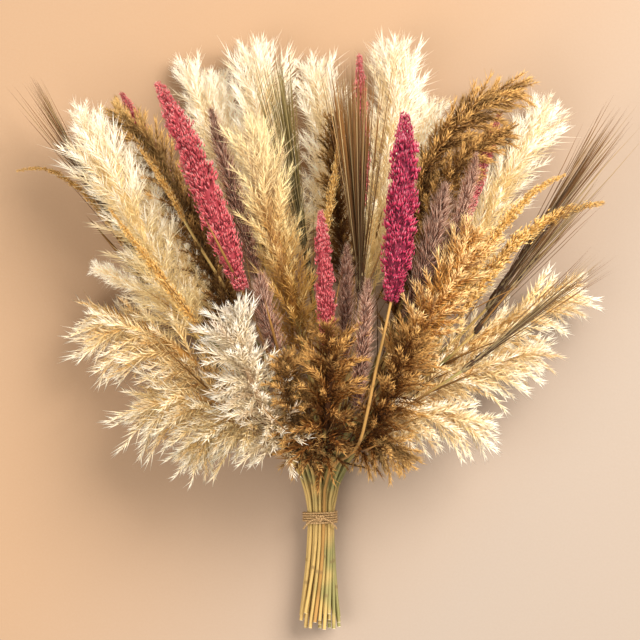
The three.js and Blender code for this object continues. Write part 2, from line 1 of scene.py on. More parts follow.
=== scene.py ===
"""A tied bundle of dried pampas grass, reed plumes, foxtails, dyed millet, bearded barley and grass spikes.

The bundle lies on a surface, and the camera looks straight down on it. Each stalk is laid out from the same
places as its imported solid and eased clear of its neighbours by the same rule, so each finer piece grows where
its solid stands. Places and sizes in the tables are in millimetres, and meshes are in metres.
"""

import json
import logging
import math
from dataclasses import dataclass, field, replace
from enum import Enum
from typing import Any, Sequence, Union

import bpy
import numpy as np
from mathutils import Matrix, Vector

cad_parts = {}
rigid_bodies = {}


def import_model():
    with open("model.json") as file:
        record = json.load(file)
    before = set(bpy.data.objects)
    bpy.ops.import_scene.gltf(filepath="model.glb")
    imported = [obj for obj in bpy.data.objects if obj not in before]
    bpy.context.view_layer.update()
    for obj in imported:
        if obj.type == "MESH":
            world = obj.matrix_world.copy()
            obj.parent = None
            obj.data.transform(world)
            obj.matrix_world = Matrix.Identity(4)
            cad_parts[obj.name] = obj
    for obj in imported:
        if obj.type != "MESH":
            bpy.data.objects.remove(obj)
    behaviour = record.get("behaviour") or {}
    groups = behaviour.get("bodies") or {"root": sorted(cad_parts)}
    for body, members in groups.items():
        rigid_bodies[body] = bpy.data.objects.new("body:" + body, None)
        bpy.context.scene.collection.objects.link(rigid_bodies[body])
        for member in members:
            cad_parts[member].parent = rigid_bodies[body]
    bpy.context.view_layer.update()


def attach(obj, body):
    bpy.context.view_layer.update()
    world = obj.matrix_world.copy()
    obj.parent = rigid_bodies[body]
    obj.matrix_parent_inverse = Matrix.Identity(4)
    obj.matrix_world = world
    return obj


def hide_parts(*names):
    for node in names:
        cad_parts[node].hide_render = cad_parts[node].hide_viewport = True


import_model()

LOG = logging.getLogger("bundle_of_pampas_grass")
MM = 0.001
TINY = 1e-9
GOLDEN_ANGLE = math.pi * (3 - math.sqrt(5))

Place = tuple[float, float, float]
Feed = Union[bpy.types.Node, bpy.types.NodeSocket, float, int, str, bool, Sequence[float]]
StalkLine = dict[str, Any]


# Stalks


class Kind(Enum):
    """The kinds of head in the bundle, by the names that their nodes start with."""

    PAMPAS = "pampas_plume"
    REED = "reed_plume"
    FOXTAIL = "foxtail"
    MILLET = "millet_head"
    BARLEY = "bearded_barley"
    SPIKE = "slender_spike"


class Tone(Enum):
    """The finishes that the bundle shows, by the names of their material slots."""

    CREAM_PAMPAS = "cream_pampas"
    GOLDEN_PAMPAS = "golden_pampas"
    BROWN_REED = "brown_reed"
    CREAM_REED = "cream_reed"
    GOLD_REED = "gold_reed"
    PLUM_FOXTAIL = "plum_foxtail"
    CORAL_MILLET = "coral_millet"
    MAGENTA_MILLET = "magenta_millet"
    DARK_BARLEY = "dark_barley"
    GOLD_SPIKE = "gold_spike"
    STRAW_STALK = "straw_stalk"
    JUTE_TWINE = "jute_twine"


@dataclass(frozen=True)
class Habit:
    """The room that a kind of head takes.

    core and press are the shares of the girth that the core fills and that neighbours are pressed out of, and
    swell is the head's outline from foot to tip.
    """

    core: float
    press: float
    swell: tuple[float, ...]


HABITS = {
    Kind.PAMPAS: Habit(0.27, 0.62, (0.3, 0.78, 1, 0.86, 0.3)),
    Kind.REED: Habit(0.2, 0.55, (0.45, 0.9, 1, 0.85, 0.4)),
    Kind.FOXTAIL: Habit(0.42, 0.8, (0.35, 0.85, 1, 0.85, 0.35)),
    Kind.MILLET: Habit(0.6, 1, (0.5, 0.95, 1, 0.85, 0.35)),
    Kind.BARLEY: Habit(0.75, 1, (0.7, 1, 1, 0.9, 0.6)),
    Kind.SPIKE: Habit(0.6, 1, (0.5, 1, 1, 0.7, 0.3)),
}


@dataclass(frozen=True)
class Stalk:
    """One stalk: its head's kind, tone and greatest radius, and the places of its foot, middle and tip.

    hang is the way that a drooping plume's sprays hang, and awn is how far an ear's awns pass its tip. bleach
    is how much paler than its finish the head is, or darker below 0: partly the head's own paleness and partly
    painted light, which lightens some heads that lie in the shade of others and darkens some that stand open to
    the light. faded is how much paler still its tip is. fluff is how far its sprays stand out and blunt how
    broad its tip is, against those of others of its kind. over is the places that a stalk passes over where it
    rises in front of other heads.
    """

    kind: Kind
    tone: Tone
    girth: float
    foot: Place
    middle: Place
    tip: Place
    hang: Place = (0.0, 0.0, 0.0)
    awn: float = 0.0
    bleach: float = 0.0
    faded: float = 0.0
    fluff: float = 1.0
    blunt: float = 1.0
    over: tuple[Place, ...] = ()


PAMPAS, REED, FOXTAIL, MILLET, BARLEY, SPIKE = Kind
CREAM, GOLDEN, BROWN_REED, CREAM_REED, GOLD_REED, PLUM, CORAL, MAGENTA, DARK, GOLD_SPIKE = list(Tone)[:10]

PAST_BROWN_REEDS = ((45, 98, 196), (61, 176, 228))

# Several bleach values are painted light: the first pampas plume, high and open to the light, is darkened, and
# the low pampas plumes in the shade of others are lightened.
STALKS = [
    Stalk(
        PAMPAS, CREAM, 38, (-150, 225, 110), (-222, 365, 125), (-275, 466, 110),
        bleach=-0.2, faded=0.55, blunt=0.72,
    ),
    Stalk(PAMPAS, CREAM, 20, (-130, 245, 95), (-181, 349, 100), (-217, 425, 95), blunt=0.8),
    Stalk(PAMPAS, CREAM, 19, (-98, 345, 32), (-132, 460, 22), (-156, 514, 10), bleach=0.15, fluff=1.45),
    Stalk(PAMPAS, CREAM, 15, (-80, 350, 24), (-108, 450, 14), (-113, 504, 6), bleach=0.2, fluff=1.6),
    Stalk(
        PAMPAS, CREAM, 33, (-38, 310, 48), (-64, 445, 42), (-76, 536, 34),
        bleach=0.1, faded=0.25, fluff=1.25,
    ),
    Stalk(PAMPAS, GOLDEN, 34, (-22, 205, 125), (-55, 335, 135), (-84, 445, 118), faded=0.45),
    Stalk(PAMPAS, CREAM, 20, (8, 330, 28), (3, 450, 19), (-20, 515, 10), bleach=0.15, fluff=1.5),
    Stalk(PAMPAS, CREAM, 30, (55, 285, 55), (80, 440, 50), (82, 538, 38), bleach=0.06, faded=0.1, fluff=1.2),
    Stalk(PAMPAS, CREAM, 16, (80, 320, 24), (112, 425, 14), (130, 474, 6), fluff=1.5),
    Stalk(PAMPAS, CREAM, 28, (150, 260, 60), (215, 390, 48), (265, 474, 34), fluff=1.15, blunt=0.8),
    Stalk(PAMPAS, CREAM, 12, (-150, 222, 82), (-212, 262, 82), (-258, 282, 74)),
    Stalk(
        REED, BROWN_REED, 22, (-105, 244, 95), (-170, 385, 98), (-238, 461, 90),
        hang=(-0.25, -0.05, 0), bleach=0.12, faded=0.65, fluff=1.3,
    ),
    Stalk(REED, BROWN_REED, 10, (27, 288, 88), (16, 390, 92), (19, 456, 88), bleach=-0.25, fluff=1.7),
    Stalk(
        REED, BROWN_REED, 20, (95, 245, 95), (135, 420, 105), (242, 482, 92),
        hang=(0.35, -0.25, 0), bleach=0.05, faded=0.25, fluff=1.35,
    ),
    Stalk(
        REED, BROWN_REED, 16, (105, 275, 118), (150, 390, 125), (222, 432, 112),
        hang=(0.3, -0.2, 0), bleach=0.1, fluff=1.25,
    ),
    Stalk(
        REED, CREAM_REED, 38, (-105, 140, 105), (-190, 212, 92), (-262, 228, 36),
        hang=(-0.15, -0.75, -0.25), fluff=1.12,
    ),
    Stalk(
        REED, CREAM_REED, 36, (-90, 118, 125), (-150, 138, 112), (-205, 118, 72),
        hang=(-0.1, -0.6, -0.2), bleach=-0.14, fluff=1.1,
    ),
    Stalk(
        REED, CREAM_REED, 30, (-70, 110, 150), (-112, 108, 148), (-142, 60, 115),
        hang=(0, -0.5, -0.2), bleach=-0.28, faded=0.2,
    ),
    Stalk(
        REED, CREAM_REED, 34, (-48, 105, 155), (-80, 175, 188), (-92, 246, 190),
        hang=(-0.1, -0.35, -0.1), bleach=0.42, faded=0.2,
    ),
    Stalk(
        REED, BROWN_REED, 24, (-20, 85, 150), (-32, 140, 182), (-40, 195, 192),
        hang=(0, -0.4, -0.1), bleach=0.15,
    ),
    Stalk(REED, BROWN_REED, 30, (5, 95, 170), (10, 165, 208), (6, 228, 218), hang=(0, -0.4, -0.25)),
    Stalk(
        REED, BROWN_REED, 28, (50, 95, 162), (85, 160, 196), (100, 222, 200),
        hang=(0.1, -0.35, -0.15), bleach=-0.12,
    ),
    Stalk(
        REED, BROWN_REED, 20, (45, 88, 148), (72, 86, 172), (94, 62, 160),
        hang=(0.1, -0.4, 0), bleach=0.25, fluff=1.3,
    ),
    Stalk(
        REED, CREAM_REED, 28, (75, 115, 142), (132, 118, 142), (188, 106, 106),
        hang=(0.1, -0.5, -0.15), bleach=0.15,
    ),
    Stalk(
        REED, CREAM_REED, 30, (100, 135, 118), (180, 172, 108), (250, 192, 66),
        hang=(0.1, -0.4, -0.2), bleach=0.1,
    ),
    Stalk(REED, CREAM_REED, 32, (135, 175, 98), (225, 230, 84), (290, 262, 32), hang=(0.1, -0.3, -0.2)),
    Stalk(REED, GOLD_REED, 30, (100, 185, 160), (145, 262, 175), (178, 325, 165), hang=(0.1, -0.1, 0.1)),
    Stalk(FOXTAIL, PLUM, 13, (-64, 255, 125), (-95, 360, 130), (-119, 451, 118)),
    Stalk(FOXTAIL, PLUM, 11, (110, 225, 145), (150, 325, 155), (170, 400, 145)),
    Stalk(FOXTAIL, PLUM, 14, (90, 215, 150), (120, 300, 160), (136, 366, 155), bleach=-0.15),
    Stalk(FOXTAIL, PLUM, 13, (-38, 160, 150), (-58, 225, 165), (-64, 268, 162)),
    Stalk(FOXTAIL, PLUM, 11, (38, 115, 175), (46, 195, 205), (51, 262, 205)),
    Stalk(FOXTAIL, PLUM, 10, (25, 160, 140), (28, 240, 160), (29, 300, 160)),
    Stalk(MILLET, CORAL, 16, (-85, 255, 152), (-135, 390, 165), (-176, 478, 150)),
    Stalk(MILLET, CORAL, 9, (-160, 350, 60), (-190, 415, 62), (-221, 474, 58)),
    Stalk(MILLET, CORAL, 9, (46, 350, 78), (45, 440, 80), (44, 515, 76)),
    Stalk(MILLET, CORAL, 10, (9, 190, 165), (5, 270, 180), (1, 338, 175)),
    Stalk(MILLET, CORAL, 9, (140, 290, 72), (175, 380, 76), (200, 452, 70)),
    Stalk(MILLET, MAGENTA, 17, (76, 242, 215), (88, 350, 225), (91, 440, 215), over=PAST_BROWN_REEDS),
    Stalk(BARLEY, DARK, 6, (-215, 315, 85), (-245, 360, 88), (-270, 404, 88), awn=92, bleach=-0.2),
    Stalk(BARLEY, DARK, 6, (-190, 270, 70), (-225, 325, 72), (-252, 365, 70), awn=78, bleach=-0.2),
    Stalk(BARLEY, DARK, 6, (-8, 255, 98), (-18, 310, 100), (-26, 365, 98), awn=155, bleach=0.6, fluff=1.15),
    Stalk(BARLEY, DARK, 7, (44, 240, 132), (43, 285, 135), (40, 330, 132), awn=172, fluff=2.1),
    Stalk(BARLEY, DARK, 6, (180, 230, 130), (215, 280, 130), (245, 325, 126), awn=145, bleach=-0.25),
    Stalk(BARLEY, DARK, 6, (165, 205, 150), (205, 255, 150), (235, 290, 144), awn=103, bleach=-0.25),
    Stalk(BARLEY, DARK, 6, (150, 165, 182), (190, 195, 178), (220, 220, 168), awn=105, bleach=-0.25),
    Stalk(SPIKE, GOLD_SPIKE, 4, (-187, 255, 62), (-268, 368, 62), (-338, 389, 52)),
    Stalk(SPIKE, GOLD_SPIKE, 4, (-150, 330, 130), (-170, 368, 132), (-200, 412, 130)),
    Stalk(SPIKE, GOLD_SPIKE, 5, (-125, 205, 170), (-185, 285, 180), (-228, 342, 172)),
    Stalk(SPIKE, GOLD_SPIKE, 5, (0, 300, 132), (14, 365, 136), (20, 424, 130)),
    Stalk(SPIKE, GOLD_SPIKE, 6, (150, 250, 180), (205, 338, 170), (264, 382, 146)),
    Stalk(SPIKE, GOLD_SPIKE, 8, (150, 225, 165), (225, 315, 155), (310, 350, 130)),
]


# Layout


@dataclass(frozen=True)
class EaseStage:
    """One stage of easing the stalks apart.

    share is how much of an overlap one round takes away, sideways the sideways part of the move, and smooth
    how much of the bend against the neighbouring rings is taken out.
    """

    rounds: int
    gap: float
    share: float
    sideways: float
    smooth: float


@dataclass
class TieSize:
    """The places that the tie leaves the stalks and how thick the twine round them is, in millimetres.

    pitch is from stalk to stalk, sides how many sides the twine's ring has and clearance what lies between it
    and the outermost stalk, which stands at reach, as the layout finds. The stalks run straight over
    grip_half each way from the tie's middle.
    """

    stalk_radius: float = 2.0
    pitch: float = 4.1
    sides: int = 12
    clearance: float = 0.4
    twine: float = 3.0
    grip_half: float = 13.0
    reach: float = 0.0

    def outer(self) -> float:
        """The twine's outside at its corners."""
        inner = (self.reach + self.stalk_radius + self.clearance) / math.cos(math.pi / self.sides)
        return inner + self.twine

    def axis_height(self) -> float:
        """How high the tie's axis lies over the surface."""
        return self.outer() * math.cos(math.pi / self.sides)


@dataclass
class StalkLayout:
    """Lays the stalks from their cut ends through the tie to their heads, and eases them apart.

    flare_end is how far past the tie's middle the stalks stand wider by flare. cut_end is how far before it
    they are cut off. Its spread is how unevenly, its step how that runs from stalk to stalk, its flare and
    twist how much wider they stand there and how far turned, in radians, and its lift how many stalk radii
    the lowest lies over the surface. The handles are how straight a stem leaves the flare and meets its foot,
    and the shares the places of the rings along it and along the head. least_tip is a tip's least core in
    stalk radii, least_press the least room round a core, and rest_share the share of its room that a head
    also keeps over the surface. clear_margin is on a core's radius, for the bends of its path. most is the
    furthest that one round moves a ring, and flare_freedom how freely the first ring past the tie moves,
    against 1 for the rest.
    """

    stalks: Sequence[Stalk]
    tie: TieSize = field(default_factory=TieSize)
    flare_end: float = 33.0
    flare: float = 1.28
    cut_end: float = 116.0
    cut_end_spread: float = 9.0
    cut_end_flare: float = 1.5
    cut_end_twist: float = 0.55
    cut_end_step: float = 2.4
    cut_end_lift: float = 1.2
    flare_handle: float = 0.25
    foot_handle: float = 0.4
    stem_shares: tuple[float, ...] = (0.33, 0.68)
    head_shares: tuple[float, ...] = (0.0, 0.25, 0.5, 0.78, 1.0)
    press_stage: EaseStage = EaseStage(120, 1.0, 0.55, 0.3, 0.12)
    clear_stage: EaseStage = EaseStage(160, 0.5, 0.8, 1.0, 0.01)
    least_tip: float = 0.7
    least_press: float = 0.4
    rest_share: float = 0.85
    clear_margin: float = 1.03
    most: float = 4.0
    flare_freedom: float = 0.7

    GRIP_LAST = 2
    HEAD_FIRST = 6

    def seats(self) -> np.ndarray:
        """Gives each stalk its place in the tie, flattest lowest, and each row as the heads stand.

        Returns:
            The places square to the tie's axis, one row for each stalk.
        """
        count = len(self.stalks)
        most = math.ceil(math.sqrt(count))
        uneven = 0.3
        places = [
            ((column + abs(row) % 2 / 2) * self.tie.pitch, row * self.tie.pitch * math.sqrt(3) / 2, row)
            for row in range(-most, most + 1)
            for column in range(-most, most + 1)
        ]
        places.sort(key=lambda place: math.hypot(place[0] - uneven, place[1] - uneven / 3))
        places = sorted(places[:count], key=lambda place: (place[2], place[0]))
        headings = [stalk.over[0] if stalk.over else stalk.foot for stalk in self.stalks]
        rise = sorted(range(count), key=lambda i: headings[i][2] / headings[i][1])
        seats = np.zeros((count, 2))
        for row in sorted({place[2] for place in places}):
            in_row = [place for place in places if place[2] == row]
            chosen, rise = rise[: len(in_row)], rise[len(in_row) :]
            chosen.sort(key=lambda i: headings[i][0] / headings[i][1])
            for index, place in zip(chosen, in_row):
                seats[index] = place[:2]
        self.tie.reach = float(np.hypot(*seats.T).max())
        return seats

    def laid_rings(self, stalk: Stalk, index: int, seat: np.ndarray) -> np.ndarray:
        """Lays one stalk's rings from its cut end to its tip, before its neighbours bend it.

        Args:
            stalk: The stalk.
            index: Its place in the table, which sets how unevenly its end is cut.
            seat: Its place in the tie.

        Returns:
            The rings' centres, one row each.
        """
        u, v = seat
        axis = self.tie.axis_height()
        cos, sin = math.cos(self.cut_end_twist), math.sin(self.cut_end_twist)
        turned = np.array([u * cos - v * sin, u * sin + v * cos]) * self.cut_end_flare
        end_axis = self.tie.reach * self.cut_end_flare + self.tie.stalk_radius * self.cut_end_lift
        end_y = -self.cut_end + self.cut_end_spread * math.sin(index * self.cut_end_step)
        end = np.array([turned[0], end_y, end_axis + turned[1]])
        grips = [np.array([u, y, axis + v]) for y in (-self.tie.grip_half, self.tie.grip_half)]
        flared = np.array([u * self.flare, self.flare_end, axis + v * self.flare])
        foot, middle, tip = (np.array(place, float) for place in (stalk.foot, stalk.middle, stalk.tip))
        before_foot = foot + (middle - foot) * -self.foot_handle
        onward = (flared - grips[1]) / np.linalg.norm(flared - grips[1])
        after_flare = flared + onward * self.flare_handle * np.linalg.norm(foot - flared)
        rings = [end, *grips, flared]
        for t in self.stem_shares if not stalk.over else ():
            s = 1 - t
            near_flare = s**3 * flared + 3 * s * s * t * after_flare
            rings.append(near_flare + 3 * s * t * t * before_foot + t**3 * foot)
        rings += [np.array(place, float) for place in stalk.over]
        for t in self.head_shares:
            rings.append(foot * (1 - t) * (1 - 2 * t) + middle * 4 * t * (1 - t) + tip * t * (2 * t - 1))
        return np.array(rings)

    def core_radii(self, stalk: Stalk) -> np.ndarray:
        """The radius of the stalk's core at each ring.

        Args:
            stalk: The stalk.

        Returns:
            The radii, in millimetres.
        """
        habit = HABITS[stalk.kind]
        least = self.tie.stalk_radius * self.least_tip
        head = [max(stalk.girth * habit.core * share, least) for share in habit.swell]
        head[0] = self.tie.stalk_radius
        return np.array([self.tie.stalk_radius] * self.HEAD_FIRST + head)

    def eased_rings(self) -> np.ndarray:
        """Lays all stalks and bends them clear of each other, a little in each round.

        Returns:
            The rings' centres by stalk, ring and axis, in millimetres.
        """
        seats = self.seats()
        rings = np.array([self.laid_rings(stalk, i, seats[i]) for i, stalk in enumerate(self.stalks)])
        core = np.array([self.core_radii(stalk) for stalk in self.stalks])
        press, floor = core.copy(), core + 1
        for i, stalk in enumerate(self.stalks):
            habit = HABITS[stalk.kind]
            outline = np.array([0.0] * self.HEAD_FIRST + list(habit.swell)) * stalk.girth * habit.press
            press[i] = np.maximum(core[i] + self.least_press, outline)
            head = slice(self.HEAD_FIRST, None)
            floor[i, head] = 1 + np.maximum(core[i, head], press[i, head] * self.rest_share)
        start = rings.copy()
        for stage, radii in ((self.press_stage, press), (self.clear_stage, core * self.clear_margin)):
            for _ in range(stage.rounds):
                self.ease_round(stage, rings, radii, floor, start)
        return rings

    def segment_pairs(self, rings: int) -> tuple[np.ndarray, ...]:
        """All pairs of segments past the tie that belong to different stalks, as stalk and ring numbers.

        Args:
            rings: How many rings a stalk has.

        Returns:
            The stalk and ring numbers of the first segments, then those of the second.
        """
        per_stalk = rings - 1 - self.GRIP_LAST
        total = len(self.stalks) * per_stalk
        one, other = np.triu_indices(total, 1)
        stalk_one, stalk_other = one // per_stalk, other // per_stalk
        apart = stalk_one != stalk_other
        ring_one, ring_other = one % per_stalk + self.GRIP_LAST, other % per_stalk + self.GRIP_LAST
        return stalk_one[apart], ring_one[apart], stalk_other[apart], ring_other[apart]

    def ease_round(
        self,
        stage: EaseStage,
        rings: np.ndarray,
        radii: np.ndarray,
        floor: np.ndarray,
        start: np.ndarray,
    ) -> None:
        """Pushes overlapping segments apart once and moves the rings in place.

        Args:
            stage: The stage's shares.
            rings: The rings' centres, which are moved.
            radii: The radii that are kept clear.
            floor: The lowest height of each ring.
            start: The rings as they were laid.
        """
        pairs = self.segment_pairs(rings.shape[1])
        i, k, j, l = (index[self.near(rings, radii, stage.gap, pairs)] for index in pairs)
        share, other_share = closest_shares(rings[i, k], rings[i, k + 1], rings[j, l], rings[j, l + 1])
        along, other_along = share[:, None], other_share[:, None]
        away = rings[i, k] * (1 - along) + rings[i, k + 1] * along
        away -= rings[j, l] * (1 - other_along) + rings[j, l + 1] * other_along
        reach = radii[i, k] * (1 - share) + radii[i, k + 1] * share + stage.gap
        reach += radii[j, l] * (1 - other_share) + radii[j, l + 1] * other_share
        distance = np.linalg.norm(away, axis=1)
        deep = distance < reach
        away = away[deep] / np.maximum(distance[deep], TINY)[:, None]
        away *= ((reach - distance)[deep] * 0.5 * stage.share)[:, None]
        away[:, :2] *= stage.sideways
        i, k, j, l = i[deep], k[deep], j[deep], l[deep]
        along, other_along = along[deep], other_along[deep]
        push = np.zeros_like(rings)
        np.add.at(push, (i, k), away * (1 - along))
        np.add.at(push, (i, k + 1), away * along)
        np.add.at(push, (j, l), -away * (1 - other_along))
        np.add.at(push, (j, l + 1), -away * other_along)
        freedom = np.ones(rings.shape[1])
        freedom[: self.GRIP_LAST + 1] = 0
        freedom[self.GRIP_LAST + 1] = self.flare_freedom
        length = np.linalg.norm(push, axis=2, keepdims=True)
        push *= np.minimum(1, self.most / np.maximum(length, TINY))
        rings += push * freedom[:, None]
        bends = rings - start
        after = np.concatenate([bends[:, 1:], bends[:, -1:]], axis=1)
        before = np.concatenate([bends[:, :1], bends[:, :-1]], axis=1)
        rings += ((before + after) / 2 - bends) * (stage.smooth * freedom)[:, None]
        free = slice(self.GRIP_LAST + 1, None)
        rings[:, free, 2] = np.maximum(rings[:, free, 2], floor[:, free])

    def near(
        self, rings: np.ndarray, radii: np.ndarray, gap: float, pairs: tuple[np.ndarray, ...]
    ) -> np.ndarray:
        """Which of the segment pairs are close enough to look at, by the balls round them.

        Args:
            rings: The rings' centres.
            radii: The radii that are kept clear.
            gap: The room between them.
            pairs: The pairs, as segment_pairs gives them.

        Returns:
            True for each pair that is close.
        """
        i, k, j, l = pairs
        centre = (rings[:, :-1] + rings[:, 1:]) / 2
        ball = np.linalg.norm(rings[:, 1:] - rings[:, :-1], axis=2) / 2
        ball += np.maximum(radii[:, :-1], radii[:, 1:])
        between = centre[i, k] - centre[j, l]
        return (between**2).sum(axis=1) < (ball[i, k] + ball[j, l] + gap) ** 2


def closest_shares(
    start: np.ndarray, end: np.ndarray, other_start: np.ndarray, other_end: np.ndarray
) -> tuple[np.ndarray, np.ndarray]:
    """Finds where pairs of segments are closest.

    Args:
        start: Where the first segments start.
        end: Where they end.
        other_start: Where the second segments start.
        other_end: Where they end.

    Returns:
        The share along the first segments and the share along the second.
    """
    run, other_run, between = end - start, other_end - other_start, start - other_start
    a = np.maximum((run * run).sum(axis=1), TINY)
    e = np.maximum((other_run * other_run).sum(axis=1), TINY)
    f, c, b = ((x * y).sum(axis=1) for x, y in ((other_run, between), (run, between), (run, other_run)))
    denominator = a * e - b * b
    solvable = denominator > TINY
    share = np.where(solvable, np.clip((b * f - c * e) / np.where(solvable, denominator, 1), 0, 1), 0.5)
    other = (b * share + f) / e
    clipped = np.clip(other, 0, 1)
    share = np.where(other != clipped, np.clip((b * clipped - c) / a, 0, 1), share)
    return share, clipped


# Lines and meshes


def smooth_line(points: np.ndarray, steps: int = 12) -> np.ndarray:
    """Draws a smooth line through points that lie unevenly apart.

    Args:
        points: The points, one row each.
        steps: How many points the line gets from each to the next.

    Returns:
        The line's points.
    """
    spans = np.linalg.norm(np.diff(points, axis=0), axis=1)
    slopes = np.diff(points, axis=0) / spans[:, None]
    tangents = np.empty_like(points)
    before, after = spans[:-1, None], spans[1:, None]
    tangents[1:-1] = (slopes[:-1] * after + slopes[1:] * before) / (before + after)
    tangents[0] = 1.5 * slopes[0] - 0.5 * tangents[1]
    tangents[-1] = 1.5 * slopes[-1] - 0.5 * tangents[-2]
    line = []
    for i, span in enumerate(spans):
        for t in np.arange(steps) / steps:
            line.append(
                points[i] * (1 + 2 * t) * (1 - t) ** 2
                + tangents[i] * span * t * (1 - t) ** 2
                + points[i + 1] * t * t * (3 - 2 * t)
                + tangents[i + 1] * span * t * t * (t - 1)
            )
    return np.array(line + [points[-1]])


def line_lengths(line: np.ndarray) -> np.ndarray:
    """How far along a line each of its points lies."""
    return np.concatenate([[0.0], np.cumsum(np.linalg.norm(np.diff(line, axis=0), axis=1))])


def places_along(line: np.ndarray, lengths: np.ndarray, along: np.ndarray) -> np.ndarray:
    """The places that lie given lengths along a line, one row each."""
    return np.stack([np.interp(along, lengths, line[:, axis]) for axis in range(3)], axis=1)


def carry(mesh: bpy.types.Mesh, values: dict[str, Any]) -> None:
    """Stores numbers at a mesh's points.

    Args:
        mesh: The mesh.
        values: A number for each point, or one for all, by the name of their attribute.
    """
    for attribute, numbers in values.items():
        spread = np.broadcast_to(numbers, len(mesh.vertices)).astype(np.float32)
        mesh.attributes.new(attribute, "FLOAT", "POINT").data.foreach_set("value", spread)


def line_mesh(name: str, lines: Sequence[np.ndarray], **values: Any) -> bpy.types.Mesh:
    """Makes a mesh of open lines, with named numbers at their points.

    Args:
        name: The mesh's name.
        lines: Each line's points, in metres.
        values: Numbers for the points, as carry takes them.

    Returns:
        The mesh.
    """
    corners, edges = [], []
    for line in lines:
        first = len(corners)
        corners += line.tolist()
        edges += [(i, i + 1) for i in range(first, len(corners) - 1)]
    mesh = bpy.data.meshes.new(name)
    mesh.from_pydata(corners, edges, [])
    carry(mesh, values)
    return mesh


@dataclass(frozen=True)
class Spindle:
    """A closed slender shape along +Z, such as a hair, a spikelet, a floret or a grain.

    profile gives height and radius from its root to its tip, and a root of some radius is capped. flat is how
    thick it is from inside to outside against its width, and bow is how far its tip leans outwards.
    """

    profile: tuple[tuple[float, float], ...]
    sides: int = 3
    flat: float = 1.0
    bow: float = 0.0

    def shell(self) -> tuple[list[Place], list[tuple[int, ...]], list[float]]:
        """Works out the shape's surface.

        Returns:
            The corners, the faces and, for each corner, its share of the way from the root to the tip.
        """
        corners, rings, shares = [], [], []
        low, high = self.profile[0][0], self.profile[-1][0]
        for height, radius in self.profile:
            ring = []
            for side in range(self.sides if radius > 0 else 1):
                angle = 2 * math.pi * side / self.sides
                x, y = radius * math.cos(angle) * self.flat, radius * math.sin(angle)
                corners.append((x + self.bow * height * height, y, height))
                shares.append((height - low) / (high - low))
                ring.append(len(corners) - 1)
            rings.append(ring)
        faces = [tuple(reversed(rings[0]))] if len(rings[0]) > 1 else []
        for lower, upper in zip(rings, rings[1:]):
            for side in range(self.sides):
                after = (side + 1) % self.sides
                if len(lower) == 1:
                    faces.append((lower[0], upper[after], upper[side]))
                elif len(upper) == 1:
                    faces.append((lower[side], lower[after], upper[0]))
                else:
                    faces.append((lower[side], lower[after], upper[after], upper[side]))
        return corners, faces, shares

    def piece(self, name: str, places: Sequence[Matrix] = (Matrix(),), seed: int = 0) -> bpy.types.Object:
        """Makes one mesh of copies of the shape.

        Args:
            name: The object's name.
            places: Where each copy stands and how large it is.
            seed: What each copy's chance number starts from.

        Returns:
            The object, which isn't in any scene. Its points carry tip, their share of the way to the tip. If
            there are several copies, they also carry out, how far out their copy stands, and speck, its
            number by chance.
        """
        corners, faces, shares = self.shell()
        points = [tuple(place @ Vector(corner)) for place in places for corner in corners]
        first = len(corners)
        shells = [
            tuple(first * copy + corner for corner in face) for copy in range(len(places)) for face in faces
        ]
        mesh = bpy.data.meshes.new(name)
        mesh.from_pydata(points, [], shells)
        values = {"tip": np.tile(shares, len(places))}
        if len(places) > 1:
            out = np.array([place.translation.z for place in places])
            values["out"] = np.repeat((out - out.min()) / np.ptp(out), first)
            values["speck"] = np.repeat(np.random.default_rng(seed).random(len(places)), first)
        carry(mesh, values)
        return bpy.data.objects.new(name, mesh)


# Node trees


